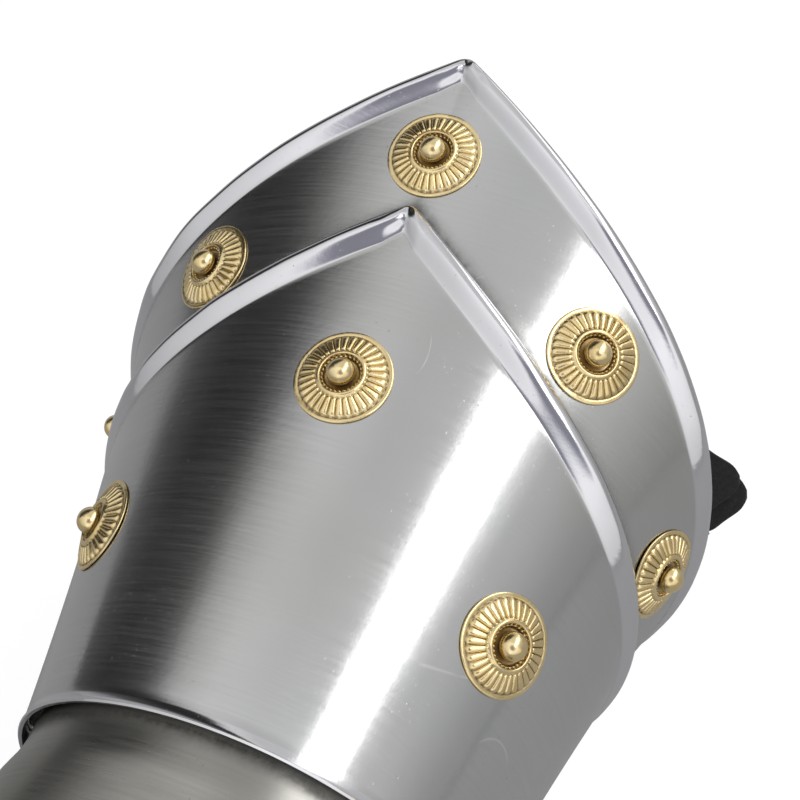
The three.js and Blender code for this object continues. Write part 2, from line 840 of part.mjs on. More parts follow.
// The knuckle plate ends in a free edge over the fingers and carries a boss over each knuckle.
function knuckleShape() {
  const own = knucklePlate;
  const steps = 5;
  const stops = Array.from({ length: steps }, (_, k) => lerp(handEdge.lap, own.length, (k + 1) / steps));
  return {
    ...own,
    rear: own,
    front: knuckleFront,
    sink: handEdge.sink,
    tuck: handEdge.lap,
    seat: 0,
    bodyStops: [0, handEdge.lap, ...stops],
    rearSteps: 1,
    sheet,
    halfAngle: handEdge.halfAngle,
    stations: segments.knuckle,
    bosses: fingers.map((one) => new THREE.Vector2(own.length - finger.rootBack - boss.back, one.across)),
  };
}

function hingeDrill(length, radius) {
  const frame = frameAt(new THREE.Vector3(), new THREE.Vector3(0, 1, 0), new THREE.Vector3(1, 0, 0));
  return drill(frame, radius, length, segments.smallRivet);
}

function frontDrill(shape, radius) {
  const place = new THREE.Vector3(shape.length, 0, -shape.sink);
  const frame = frameAt(place, new THREE.Vector3(0, 1, 0), new THREE.Vector3(1, 0, 0));
  return drill(frame, radius, 4 * shape.front.halfWidth, segments.smallRivet);
}

function handHoles(k, shape) {
  const own = k === 0 ? wristRivet.shankRadius : lameRivet.shankRadius;
  const holes = [hingeDrill(4 * shape.rear.halfWidth, own + pinGap)];
  if (shape.seat > 0) holes.push(frontDrill(shape, lameRivet.shankRadius + pinGap));
  return holes;
}

function addLameRivets(group, shape, index) {
  for (const side of [1, -1]) {
    const place = new THREE.Vector3(shape.length, 0, -shape.sink);
    const holder = groupAt(frameAt(place, new THREE.Vector3(0, side, 0), new THREE.Vector3(1, 0, 0)));
    group.add(holder);
    const seat = shape.front.halfWidth + restGap / 2;
    const grip = 2 * (sheet + restGap) + nestGap;
    const pin = rivet(lameRivet, lowHead(lameRivet), grip, segments.smallRivet).translate(0, 0, seat);
    addPiece(holder, `lame_rivet_${index}_${side > 0 ? 'thumb' : 'little'}_side`, pin, 'steel', 1.0);
  }
}

function addHandPlates() {
  let parent = new THREE.Group();
  parent.position.copy(wristPivot);
  parent.rotation.y = wrist.handPitch;
  body.add(parent);
  const holders = [parent];
  handPlates.forEach((plate, k) => {
    const last = k === handPlates.length - 1;
    const shape = last ? knuckleShape() : plateShape(k);
    addPiece(parent, plate.name, cut(nestedPlate(shape), handHoles(k, shape)), 'darkSteel');
    if (last) return;
    addLameRivets(parent, shape, k + 1);
    const next = new THREE.Group();
    next.position.set(shape.length, 0, -shape.sink);
    parent.add(next);
    parent = next;
    holders.push(next);
  });
  return holders;
}

// Fingers.

// The fingers share the knuckle plate's width.
function onKnuckles(one) {
  const across = one.acrossShare * knuckleFront.halfWidth;
  return { ...one, across, radius: one.radiusShare * knuckleFront.halfWidth };
}

// Height and side slope of the knuckle plate's outer face over one of its cross-section's places.
function knuckleFace(shape, x, across) {
  const share = bodyShare(shape, x);
  const bulge = lerp(shape.rear.bulge, shape.front.bulge, share);
  const halfWidth = lerp(shape.rear.halfWidth, shape.front.halfWidth, share);
  const height = lerp(shape.rear.height, shape.front.height, share);
  const part = Math.abs(across) / halfWidth;
  const lift = (1 - part ** bulge) ** (1 / bulge);
  const slope = ((height / halfWidth) * part ** (bulge - 1)) / lift ** (bulge - 1);
  return { height: height * lift - shape.sink * share, lean: Math.atan(slope) * Math.sign(across) };
}

// A finger's knuckle hinge lies under the knuckle plate by the sheet, a gap and the finger's own radius.
function knucklePoint(one) {
  const shape = knuckleShape();
  const x = shape.length - finger.rootBack;
  const depth = sheet + nestGap + one.radius;
  let foot = one.across;
  for (let k = 0; k < 30; k += 1) foot = one.across + depth * Math.sin(knuckleFace(shape, x, foot).lean);
  const face = knuckleFace(shape, x, foot);
  return new THREE.Vector3(x, one.across, face.height - depth * Math.cos(face.lean));
}

function fingerShape(one, k, rearTurn) {
  const own = one.radius - finger.taper * k;
  const round = (radius) => ({ height: radius, halfWidth: radius, bulge: 2 });
  const tip = k === 2;
  const length = one[lengthNames[k]];
  const seat = tip ? finger.noseLength : own;
  return {
    rear: round(own),
    front: tip ? round(own - finger.taper) : coverOf(round(own - finger.taper), fingerSheet),
    length,
    sink: 0,
    tuck: finger.lap,
    seat,
    bodyStops: [0, finger.lap, length - seat, ...(tip ? [] : [length + finger.lap])],
    rearTop: own * Math.sin(rearTurn),
    rearSide: finger.rearSide,
    rearSteps: 1,
    nose: tip ? finger.noseLength : 0,
    sheet: fingerSheet,
    halfAngle: finger.halfAngle,
    stations: segments.finger,
  };
}

const partNames = ['proximal', 'middle', 'tip'];
const lengthNames = ['proximalLength', 'middleLength', 'tipLength'];

function buildFinger(one, names, bends) {
  const holders = [];
  let parent = new THREE.Group();
  const base = parent;
  partNames.forEach((part, k) => {
    const shape = fingerShape(one, k, fingerRear[part]);
    addPiece(parent, names[k], nestedPlate(shape), 'darkSteel', 0.9);
    holders.push(parent);
    if (k === 2) return;
    const next = new THREE.Group();
    next.position.x = one[lengthNames[k]];
    next.rotation.y = bends[k];
    parent.add(next);
    parent = next;
  });
  return { base, holders };
}

function lowestPoint(object) {
  body.updateMatrixWorld(true);
  return new THREE.Box3().setFromObject(object, true).min.z;
}

// Bends the finger at its knuckle until its tip plate just clears the ground.
function settleFinger(base) {
  let [low, high] = [0, fingerRest.most];
  for (let k = 0; k < 18; k += 1) {
    base.rotation.y = (low + high) / 2;
    if (lowestPoint(base) > -cuff.groundDrop + fingerRest.floorGap) low = base.rotation.y;
    else high = base.rotation.y;
  }
  base.rotation.y = low;
}

// How high a flat strip's middle can lie inside a round plate of the given outer radius.
function stripHeight(radius, width) {
  const arch = Math.sqrt((radius - fingerSheet) ** 2 - (width / 2) ** 2);
  return arch - 2 * restGap - strip.thickness / 2;
}

// A strip's stations inside a chain of plates, after those that lead to it, in the anchor's frame.
function stripStations(chain, one, anchor) {
  body.updateMatrixWorld(true);
  const into = anchor.holder.matrixWorld.clone().invert();
  const width = strip.widthShare * one.radius;
  const stations = anchor.stations.map((station) => ({ ...station, width }));
  chain.forEach((holder, k) => {
    const own = one.radius - finger.taper * k;
    const high = stripHeight(k === 2 ? own - finger.taper : own, width);
    const low = strip.dipShare * own;
    for (const [x, height] of [[-own, low], [0, (low + high) / 2], [one[lengthNames[k]] / 2, high]]) {
      const at = new THREE.Vector3(x, 0, height).applyMatrix4(holder.matrixWorld);
      const side = new THREE.Vector3(0, 1, 0).transformDirection(holder.matrixWorld).transformDirection(into);
      stations.push({ at: at.applyMatrix4(into), side, width });
    }
  });
  return stations;
}

// Where a finger's strip starts, against the underside of the knuckle plate.
function fingerAnchor(one, holder) {
  const shape = knuckleShape();
  const stations = [1, 0.75].map((share) => {
    const x = shape.length - finger.rootBack - strip.anchorBack * share;
    const face = knuckleFace(shape, Math.max(x, 0), one.across);
    const depth = sheet + 2 * restGap + strip.thickness / 2;
    const lift = Math.tan(Math.abs(face.lean)) * (strip.widthShare * one.radius / 2) * Math.cos(face.lean);
    const side = new THREE.Vector3(0, Math.cos(face.lean / 2), -Math.sin(face.lean / 2));
    return { at: new THREE.Vector3(x, one.across, face.height - depth - lift), side };
  });
  return { holder, stations };
}

function addFingers(knuckleHolder) {
  for (const one of fingers) {
    const place = knucklePoint(one);
    const names = partNames.map((part) => `${one.name}_${part}_plate`);
    const { base, holders } = buildFinger(one, names, [fingerRest.middle, fingerRest.tip]);
    const mount = new THREE.Group();
    mount.position.copy(place);
    mount.rotation.z = one.fan;
    mount.add(base);
    knuckleHolder.add(mount);
    settleFinger(base);
    const anchor = fingerAnchor(one, knuckleHolder);
    const leather = bandSolid(stripStations(holders, one, anchor), strip.thickness);
    addPiece(knuckleHolder, `${one.name}_leather_strip`, leather, 'leather', 0.5);
  }
}

// Thumb.

function addThumb(handHolder) {
  const mount = new THREE.Group();
  mount.position.set(thumb.along, firstLame.halfWidth - thumb.inset, -thumb.drop);
  mount.rotation.set(-thumb.roll, thumb.pitch, thumb.yaw, 'ZYX');
  handHolder.add(mount);
  const names = ['thumb_base_plate', 'thumb_proximal_plate', 'thumb_tip_plate'];
  const { base, holders } = buildFinger(thumb, names, [thumb.bend, thumb.tipBend]);
  mount.add(base);
  body.updateMatrixWorld(true);
  const top = handPlate.halfWidth - sheet + nestGap / 4;
  const foot = top - thumb.stripLean;
  const side = new THREE.Vector3(1, 0, 0);
  const stations = [
    { at: new THREE.Vector3(thumb.stripAlong, top, thumb.stripTop), side },
    { at: new THREE.Vector3(thumb.stripAlong, foot, thumb.stripFoot), side },
  ];
  const anchor = { holder: handHolder, stations };
  const leather = bandSolid(stripStations(holders, thumb, anchor), strip.thickness);
  addPiece(handHolder, 'thumb_leather_strip', leather, 'leather', 0.5);
}

// Straps and buckle.

function addPalmStrap(handHolder) {
  const reach = handPlate.halfWidth - sheet - palmStrap.sideGap;
  const side = new THREE.Vector3(1, 0, 0);
  const stations = [{ at: new THREE.Vector3(palmStrap.along, -reach, palmStrap.top), side }];
  const steps = 16;
  for (let k = 0; k <= steps; k += 1) {
    const turn = Math.PI * (k / steps - 0.5);
    const at = new THREE.Vector3(palmStrap.along, reach * Math.sin(turn), -palmStrap.depth * Math.cos(turn));
    stations.push({ at, side });
  }
  stations.push({ at: new THREE.Vector3(palmStrap.along, reach, palmStrap.top), side });
  stations.forEach((station) => { station.width = palmStrap.width; });
  addPiece(handHolder, 'palm_strap', bandSolid(stations, palmStrap.thickness), 'leather', 0.5);
}

const buckleLevel = closure.level - closure.thickness / 2 - restGap - buckle.thickness / 2;

// Stations of a leather band lying against the inside of the rear plate's wall.
function wallStations(sign, steps, width) {
  const depth = sheet + 3 * restGap + closure.thickness / 2;
  return steps.map((step) => {
    const turn = closure.angle + step * closure.wallTurn;
    const at = cuffPoint(sign * turn, closureAlong, -depth, rearPlate);
    const ahead = cuffPoint(sign * turn, closureAlong - width / 2, -depth, rearPlate);
    return { at, side: ahead.sub(at), width };
  });
}

function flatStation(across, level, width) {
  return { at: new THREE.Vector3(-closureAlong, across, level), side: new THREE.Vector3(1, 0, 0), width };
}

function barFrame() {
  const at = new THREE.Vector3(-closureAlong, buckle.across, buckleLevel);
  return frameAt(at, new THREE.Vector3(1, 0, 0), new THREE.Vector3(0, 1, 0));
}

function barDrill(radius, length) {
  return drill(barFrame(), radius, length, segments.rivet);
}

function blockAt(centre, size) {
  return wasm.Manifold.cube(size.toArray(), true).translate(centre.toArray());
}

// The strap's free end runs from the buckle's bar round behind the rear rim to its rounded tip.
function tongueStations(start, width) {
  const [back, across] = [rearPlate.sideLength + closure.tipPastSide, cuff.reachHalfWidth + closure.tipOut];
  const tip = new THREE.Vector3(-back, across, closure.tipLevel);
  const way = tip.sub(start);
  const places = tongueShares.map((shares) => start.clone().add(new THREE.Vector3(...shares).multiply(way)));
  const curve = new THREE.CatmullRomCurve3([start, ...places]);
  const steps = 12;
  return Array.from({ length: steps }, (_, k) => {
    const run = curve.getTangentAt((k + 1) / steps);
    const side = new THREE.Vector3(run.y, -run.x, 0).normalize();
    return { at: curve.getPointAt((k + 1) / steps), side, width };
  });
}

function strapPath() {
  const width = closure.width;
  const wall = wallStations(-1, [-1, 0, 1], width);
  const under = buckleLevel - closure.sag;
  const crossing = [
    flatStation(-closure.turnAcross, closure.level - closure.turnDrop, width),
    flatStation(-closure.flatAcross, closure.level, width),
    flatStation(buckle.across - buckle.length + buckle.wire * 3, closure.level, width),
    flatStation(buckle.across - closure.barBefore, under, width),
    flatStation(buckle.across + closure.barAfter, under, width),
  ];
  const tongue = tongueStations(crossing[4].at, width);
  return roundedEnd([...wall, ...crossing, ...tongue], width * 0.7);
}

function addClosureStrap() {
  const band = bandSolid(strapPath(), closure.thickness);
  const middle = buckle.across - (closure.slotStart + closure.slotEnd) / 2;
  const slotLength = closure.slotEnd - closure.slotStart;
  const size = new THREE.Vector3(prong.width + 4 * restGap, slotLength, 2 * buckle.length);
  const slot = blockAt(new THREE.Vector3(-closureAlong, middle, buckleLevel), size);
  addPiece(body, 'closure_strap', cut(band, [slot, strapHole(strapSpots[0])]), 'leather', 0.5);
}

function addChape() {
  const width = closure.chapeWidth;
  const wall = wallStations(1, [1, 0, -1], width);
  const stations = [
    flatStation(buckle.across + buckle.barRadius * 1.5, buckleLevel, width),
    flatStation(buckle.across + buckle.length * 0.6, buckleLevel, width),
    flatStation(buckle.across + buckle.length * 1.4, buckleLevel + closure.thickness / 2, width),
    ...wall,
  ];
  const band = toSolid(bandSolid(stations, closure.thickness));
  const notch = blockAt(
    new THREE.Vector3(-closureAlong, buckle.across, buckleLevel),
    new THREE.Vector3(prong.width + 2 * restGap, 2 * (buckle.eyeRadius + restGap), 4 * buckle.eyeRadius),
  );
  const whole = band.add(barDrill(buckle.eyeRadius, width));
  const tools = [barDrill(buckle.barRadius + restGap / 2, 2 * width), notch, strapHole(strapSpots[1])];
  addPiece(body, 'buckle_chape', cut(fromSolid(whole), tools), 'leather', 0.5);
}

function addBuckleFrame() {
  const middle = buckle.across + buckle.barRadius - buckle.length / 2;
  const centre = new THREE.Vector3(-closureAlong, middle, buckleLevel);
  const outer = blockAt(centre, new THREE.Vector3(buckle.width, buckle.length, buckle.thickness));
  const open = new THREE.Vector3(buckle.width - 2 * buckle.wire, buckle.length, buckle.thickness * 2);
  const opening = blockAt(centre.clone().add(new THREE.Vector3(0, buckle.wire, 0)), open);
  const frame = outer.subtract(opening).add(barDrill(buckle.barRadius, buckle.width - buckle.wire));
  addPiece(body, 'buckle_frame', fromSolid(frame), 'steel', 0.5);
}

function addProng() {
  const length = buckle.length;
  const level = buckleLevel - buckle.thickness / 2 - restGap - prong.thickness / 2;
  const centre = new THREE.Vector3(-closureAlong, buckle.across - length / 2, level);
  const arm = blockAt(centre, new THREE.Vector3(prong.width, length, prong.thickness));
  const ring = barDrill(prong.ringRadius, prong.width);
  const hole = barDrill(buckle.barRadius + restGap / 3, 2 * prong.width);
  addPiece(body, 'buckle_prong', fromSolid(ring.add(arm).subtract(hole)), 'steel', 0.5);
}

function addStrapRivets() {
  for (const spot of strapSpots) {
    const group = groupAt(cuffFrame(spot.angle, spot.along, rearPlate));
    body.add(group);
    const grip = sheet + closure.thickness + 6 * restGap;
    const pin = rivet(strapRivet, lowHead(strapRivet), grip, segments.smallRivet).translate(0, 0, restGap);
    addPiece(group, `strap_rivet_${spot.name}`, pin, 'steel', 1.0);
  }
}

addCuffPlates();
addWristRivet(1, 'wrist_rivet_thumb_side');
addWristRivet(-1, 'wrist_rivet_little_side');
const holders = addHandPlates();
addFingers(holders[3]);
addThumb(holders[0]);
addPalmStrap(holders[0]);
addClosureStrap();
addChape();
addBuckleFrame();
addProng();
addStrapRivets();

// The finished part stands on the ground with its origin under the middle of its bounding box.
root.updateMatrixWorld(true);
const box = new THREE.Box3().setFromObject(root, true);
const centre = box.getCenter(new THREE.Vector3());
body.position.set(-centre.x, -centre.y, -box.min.z);

export default root;
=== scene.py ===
import json
from math import asin, atan, atan2, copysign, cos, exp, floor, hypot, pi, radians, sin, sqrt, tan

import bmesh
import bpy
from mathutils import Matrix, Vector, noise


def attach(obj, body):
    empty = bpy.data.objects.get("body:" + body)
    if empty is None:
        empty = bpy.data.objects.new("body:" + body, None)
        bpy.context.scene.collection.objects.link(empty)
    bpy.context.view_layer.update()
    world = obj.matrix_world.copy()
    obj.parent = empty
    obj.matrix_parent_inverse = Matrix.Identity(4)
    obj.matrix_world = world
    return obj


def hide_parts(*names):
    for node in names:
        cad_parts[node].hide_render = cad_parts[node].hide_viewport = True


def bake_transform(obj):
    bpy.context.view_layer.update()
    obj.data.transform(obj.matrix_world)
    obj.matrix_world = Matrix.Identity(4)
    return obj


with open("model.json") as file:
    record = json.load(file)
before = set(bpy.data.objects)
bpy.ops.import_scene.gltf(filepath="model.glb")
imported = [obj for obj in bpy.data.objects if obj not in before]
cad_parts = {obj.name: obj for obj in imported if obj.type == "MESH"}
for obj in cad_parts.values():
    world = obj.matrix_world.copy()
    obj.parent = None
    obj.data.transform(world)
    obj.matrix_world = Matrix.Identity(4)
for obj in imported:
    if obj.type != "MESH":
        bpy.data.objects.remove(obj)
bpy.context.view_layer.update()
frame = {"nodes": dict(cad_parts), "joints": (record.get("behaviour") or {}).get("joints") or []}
joints = {joint["name"]: joint for joint in frame["joints"]}
print("stage: frame loaded,", len(frame["nodes"]), "nodes")

# Everything is modelled in millimetres: x = 0 is the wrist edge of the cuff, +x to the fingertips.
wristBack = 6.6  # from the wrist edge back to the wrist hinge
modelScale = 0.001
wristAt = Vector(joints["wrist_hinge"]["pos_m"])
toFrame = Matrix.Translation(wristAt + Vector((wristBack * modelScale, 0, 0))) @ Matrix.Scale(modelScale, 4)
toModel = toFrame.inverted()

sheet = {"plate": 1.2, "finger": 1.0, "nestGap": 0.4, "restGap": 0.3}


def lerp(low, high, share):
    return low + (high - low) * share


# Shape helpers


def loft(rings, layers=None):  # closed sections joined side by side, with both ends filled
    columns, around = len(rings) - 1, len(rings[0])
    shape = bmesh.new()
    layers = layers or {}
    tags = {name: shape.verts.layers.float.new(name) for name in layers}
    bmesh.ops.create_grid(shape, x_segments=columns, y_segments=around, size=0.5)
    for vert in shape.verts:
        column = round((vert.co.x + 0.5) * columns)
        place = round((vert.co.y + 0.5) * around) % around
        vert.co = rings[column][place]
        for name, tag in tags.items():
            vert[tag] = layers[name][column][place]
    bmesh.ops.remove_doubles(shape, verts=shape.verts, dist=0.0005)
    fillHoles(shape)
    return shape


def fillHoles(shape):
    rim = [edge for edge in shape.edges if edge.is_boundary]
    if rim:
        made = bmesh.ops.holes_fill(shape, edges=rim, sides=0)
        bmesh.ops.triangulate(shape, faces=made["faces"])


def softenEdges(shape, width, angle):
    shape.normal_update()
    sharp = [edge for edge in shape.edges if len(edge.link_faces) == 2 and edge.calc_face_angle(0) > angle]
    bmesh.ops.bevel(
        shape, geom=sharp, offset=width, segments=2, affect="EDGES", profile=0.5, material=-1, clamp_overlap=True
    )


def spinProfile(profile, steps):  # a profile of radius and height turned about Z
    shape = bmesh.new()
    verts = [shape.verts.new((radius, 0, height)) for radius, height in profile]
    edges = [shape.edges.new(pair) for pair in zip(verts, verts[1:])]
    bmesh.ops.spin(
        shape, geom=verts + edges, cent=(0, 0, 0), axis=(0, 0, 1), angle=2 * pi, steps=steps, use_merge=True
    )
    bmesh.ops.remove_doubles(shape, verts=shape.verts, dist=0.0005)
    fillHoles(shape)
    return shape


def addObject(name, data):
    made = bpy.data.objects.new(name, data)
    bpy.context.scene.collection.objects.link(made)
    return made


def addMesh(name, shape, material):
    mesh = bpy.data.meshes.new(name)
    shape.to_mesh(mesh)
    shape.free()
    mesh.materials.append(material)
    return addObject(name, mesh)


def finishPiece(node, shape, look, body, place=None, ending=None):
    material, slot, finish, crease = looks[look]
    if place is not None:
        bmesh.ops.transform(shape, matrix=place, verts=shape.verts)
    bmesh.ops.recalc_face_normals(shape, faces=shape.faces)
    shape.normal_update()
    for edge in shape.edges:
        edge.smooth = edge.calc_face_angle(0) < crease
    for face in shape.faces:
        face.smooth = True
    bmesh.ops.transform(shape, matrix=toFrame, verts=shape.verts)
    piece = addMesh(f"{node}_{ending or finish}", shape, material)
    if body:
        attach(piece, body)
    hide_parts(node)
    return piece


def axesFrame(origin, x, y, z):
    return Matrix.Translation(origin) @ Matrix((x, y, z)).transposed().to_4x4()


def frameAt(origin, zAxis, xHint):
    z = zAxis.normalized()
    x = (xHint - z * xHint.dot(z)).normalized()
    return axesFrame(origin, x, z.cross(x), z)


def smoothPath(values, marks, between):  # a smooth curve through values that stand at rising marks
    last = len(values) - 1

    def slope(k):
        if k == 0 or k == last:
            near = max(k, 1)
            return (values[near] - values[near - 1]) / (marks[near] - marks[near - 1])
        before, after = marks[k] - marks[k - 1], marks[k + 1] - marks[k]
        rise = (values[k] - values[k - 1]) * (after / before) + (values[k + 1] - values[k]) * (before / after)
        return rise / (before + after)

    path = []
    for k in range(last):
        gap = marks[k + 1] - marks[k]
        start, end = slope(k) * gap, slope(k + 1) * gap
        for step in range(between):
            t = step / between
            ease = t * t * (3 - 2 * t)
            path.append(values[k].lerp(values[k + 1], ease) + start * (t - 1) ** 2 * t + end * (t - 1) * t * t)
    path.append(values[-1])
    return path


# Materials


def setInputs(node, inputs):  # a socket is linked, anything else is set
    for key, value in inputs.items():
        if isinstance(value, bpy.types.NodeSocket):
            node.id_data.links.new(value, node.inputs[key])
        else:
            node.inputs[key].default_value = value


def addNode(tree, kind, inputs=None, **settings):
    node = tree.nodes.new("ShaderNode" + kind)
    for key, value in settings.items():
        setattr(node, key, value)
    setInputs(node, inputs or {})
    return node


def startMaterial(name, values):
    material = bpy.data.materials.new(name)
    material.use_nodes = True
    shader = material.node_tree.nodes["Principled BSDF"]
    setInputs(shader, values)
    return material, material.node_tree, shader


def mathNode(operation, first, second=0.0):  # like the ones below, it joins the tree of its first socket
    return addNode(first.id_data, "Math", {0: first, 1: second}, operation=operation).outputs[0]


def times(first, second):
    return mathNode("MULTIPLY", first, second)


def plus(first, second):
    return mathNode("ADD", first, second)


def mapRange(value, start, end, toMin=0, toMax=1, kind="LINEAR"):
    inputs = {"Value": value, "From Min": start, "From Max": end, "To Min": toMin, "To Max": toMax}
    return addNode(value.id_data, "MapRange", inputs, interpolation_type=kind).outputs[0]


def mixColour(factor, first, second):
    node = addNode(factor.id_data, "Mix", {0: factor}, data_type="RGBA")
    for key, value in ((6, first), (7, second)):
        setInputs(node, {key: value if isinstance(value, bpy.types.NodeSocket) else (*value, 1)})
    return node.outputs[2]


def noiseNode(vector, scale, detail=3.0, roughness=0.5):
    inputs = {"Vector": vector, "Scale": scale, "Detail": detail, "Roughness": roughness}
    return addNode(vector.id_data, "TexNoise", inputs).outputs["Fac"]


def bumpNode(height, distance, strength):
    return addNode(height.id_data, "Bump", {"Height": height, "Distance": distance, "Strength": strength})


def attribute(tree, name):
    return addNode(tree, "Attribute", attribute_name=name).outputs["Fac"]


def objectPosition(tree):
    return addNode(tree, "TexCoord").outputs["Object"]


cuffFinish = {"colour": (0.56, 0.565, 0.57), "shade": (0.47, 0.47, 0.455), "roughness": (0.14, 0.23), "wear": 0.8}
handFinish = {"colour": (0.31, 0.305, 0.285), "shade": (0.235, 0.232, 0.205), "roughness": (0.27, 0.38), "wear": 1.0}
steelFinish = {
    "edgeRoughness": 0.11, "anisotropy": 0.55, "anisotropyTurn": 0.25, "brushLines": 1500, "brushTurn": 2.5,
    "brushTint": (0.3, 0.75, 0, 0.35), "brushGloss": (0.25, 0.75), "axisHeight": 0.045, "cloudScale": 16,
    "cloudTint": (0.35, 0.7), "cloudGloss": (0.3, 0.7, -0.03, 0.05), "patchScale": 45,
    "patchWear": (0.42, 0.62, 0.25), "patchScratch": (0.6, 0.68, 0, 0.8), "fineScale": 420,
    "fineGrimeAndShade": (0.3, 0.6, 0.55, 1), "pitScale": 1900, "pitRange": (0.74, 0.82),
    "pitColour": (0.10, 0.095, 0.09), "pitTint": 0.7, "pitDepth": 2.0, "scratchScale": 22,
    "scratchWidth": 0.0022, "scratchColour": (0.75, 0.75, 0.74), "polishColour": (0.66, 0.66, 0.69),
    # the grime colour also stands for painted shade where plates overlap and go in under each other
    "polishTint": 0.8, "grimeAndShadeColour": (0.035, 0.033, 0.027), "grimeAndShadeDulls": 0.4, "grain": (0.00004, 0.45),
    "dentScale": 34, "dents": (0.0004, 0.35),
}


def brushCoordinates(tree, position):  # brushing runs round the forearm, so its lines repeat quickly along X only
    parts = addNode(tree, "SeparateXYZ", {0: position})
    height = mathNode("SUBTRACT", parts.outputs[2], steelFinish["axisHeight"])
    turn = mathNode("ARCTAN2", parts.outputs[1], height)
    along = times(parts.outputs[0], steelFinish["brushLines"])
    around = times(turn, steelFinish["brushTurn"])
    return addNode(tree, "CombineXYZ", {0: along, 1: around}).outputs[0]


def makeSteel(name, finish):
    look = steelFinish
    values = {"Metallic": 1.0, "Anisotropic": look["anisotropy"], "Anisotropic Rotation": look["anisotropyTurn"]}
    material, tree, shader = startMaterial(name, values)
    position = objectPosition(tree)
    brush = noiseNode(brushCoordinates(tree, position), 1.0, 4.0, 0.6)
    cloud = noiseNode(position, look["cloudScale"])
    patches = noiseNode(position, look["patchScale"], 3.0, 0.6)
    fine = noiseNode(position, look["fineScale"], 4.0, 0.7)
    specks = noiseNode(position, look["pitScale"], 1.0)
    thread = noiseNode(position, look["scratchScale"], 1.0)
    dents = noiseNode(position, look["dentScale"], 2.0)
    polish = attribute(tree, "edgePolish")
    worn = mapRange(patches, *look["patchWear"], finish["wear"])
    pits = times(mapRange(specks, *look["pitRange"]), worn)
    hair = mathNode("ABSOLUTE", mathNode("SUBTRACT", thread, 0.5))  # least where the noise crosses 0.5
    hair = mapRange(hair, 0, look["scratchWidth"], 1, 0)
    scratch = times(hair, mapRange(patches, *look["patchScratch"]))
    # crevice mask: grime and painted shade where plates meet and go in under each other
    grimeAndShade = times(attribute(tree, "crevice"), mapRange(fine, *look["fineGrimeAndShade"]))
    tint = mixColour(mapRange(cloud, *look["cloudTint"]), finish["colour"], finish["shade"])
    tint = mixColour(mapRange(brush, *look["brushTint"]), tint, finish["shade"])
    tint = mixColour(times(polish, look["polishTint"]), tint, look["polishColour"])
    tint = mixColour(times(pits, look["pitTint"]), tint, look["pitColour"])
    tint = mixColour(scratch, tint, look["scratchColour"])
    tint = mixColour(grimeAndShade, tint, look["grimeAndShadeColour"])
    rough = mapRange(brush, *look["brushGloss"], *finish["roughness"])
    rough = plus(rough, mapRange(cloud, *look["cloudGloss"]))
    satin = addNode(tree, "Mix", {0: polish, 2: rough, 3: look["edgeRoughness"]}).outputs[0]
    dull = plus(satin, times(grimeAndShade, look["grimeAndShadeDulls"]))
    height = plus(times(brush, 0.6), times(fine, 0.8))
    height = mathNode("SUBTRACT", height, times(pits, look["pitDepth"]))
    grain = bumpNode(height, *look["grain"])
    setInputs(grain, {"Normal": bumpNode(dents, *look["dents"]).outputs[0]})
    tangent = addNode(tree, "Tangent", direction_type="RADIAL", axis="X").outputs[0]
    setInputs(shader, {"Base Color": tint, "Roughness": dull, "Normal": grain.outputs[0], "Tangent": tangent})
    return material


rivetFinish = {
    "colour": (0.50, 0.50, 0.49), "darker": 0.7, "cloudScale": 300, "cloudTint": (0.35, 0.75),
    "gloss": (0.3, 0.7, 0.14, 0.3), "dents": (0.0001, 0.4),
}


def makeRivetSteel(name, colour):
    look = rivetFinish
    material, tree, shader = startMaterial(name, {"Metallic": 1.0})
    cloud = noiseNode(objectPosition(tree), look["cloudScale"])
    darker = [part * look["darker"] for part in colour]
    tint = mixColour(mapRange(cloud, *look["cloudTint"]), colour, darker)
    gloss = mapRange(cloud, *look["gloss"])
    dents = bumpNode(cloud, *look["dents"]).outputs[0]
    setInputs(shader, {"Base Color": tint, "Roughness": gloss, "Normal": dents})
    return material


brassFinish = {
    # the tarnish colour also paints the shade in the rosette's hollows, at its edge and under its rivet dome
    "colour": (0.70, 0.53, 0.25), "bright": (0.84, 0.69, 0.40), "tarnishAndShade": (0.085, 0.055, 0.022),
    "cloudScale": 180, "cloudTint": (0.3, 0.75), "cloudGrimeAndShade": (0.25, 0.6, 0.55, 1), "fineScale": 1400,
    "fineGloss": (0.3, 0.7), "grimeAndShadeDulls": 0.3, "grain": (0.00006, 0.5),
}


def makeBrass(name, roughness):
    look = brassFinish
    material, tree, shader = startMaterial(name, {"Metallic": 1.0})
    position = objectPosition(tree)
    cloud = noiseNode(position, look["cloudScale"], 4.0, 0.6)
    fine = noiseNode(position, look["fineScale"], 3.0, 0.6)
    # crevice mask: tarnish in the hollows and painted shade there, at the rosette's edge and under the rivet dome
    grimeAndShade = times(attribute(tree, "crevice"), mapRange(cloud, *look["cloudGrimeAndShade"]))
    tint = mixColour(mapRange(cloud, *look["cloudTint"]), look["bright"], look["colour"])
    tint = mixColour(grimeAndShade, tint, look["tarnishAndShade"])
    rough = mapRange(fine, *look["fineGloss"], *roughness)
    rough = plus(rough, times(grimeAndShade, look["grimeAndShadeDulls"]))
    grain = bumpNode(fine, *look["grain"]).outputs[0]
    setInputs(shader, {"Base Color": tint, "Roughness": rough, "Normal": grain})
    return material


leatherFinish = {
    "colour": (0.005, 0.005, 0.005), "nap": (0.018, 0.0175, 0.0175),
    "shader": {"Roughness": 0.9, "Sheen Weight": 0.09, "Sheen Roughness": 0.5}, "napScale": 900,
    "napTint": (0.35, 0.7), "patchScale": 70, "patchTint": (0.4, 0.7, 0, 0.4), "patchHeight": 1.5,
    "grain": (0.0004, 0.8),
}


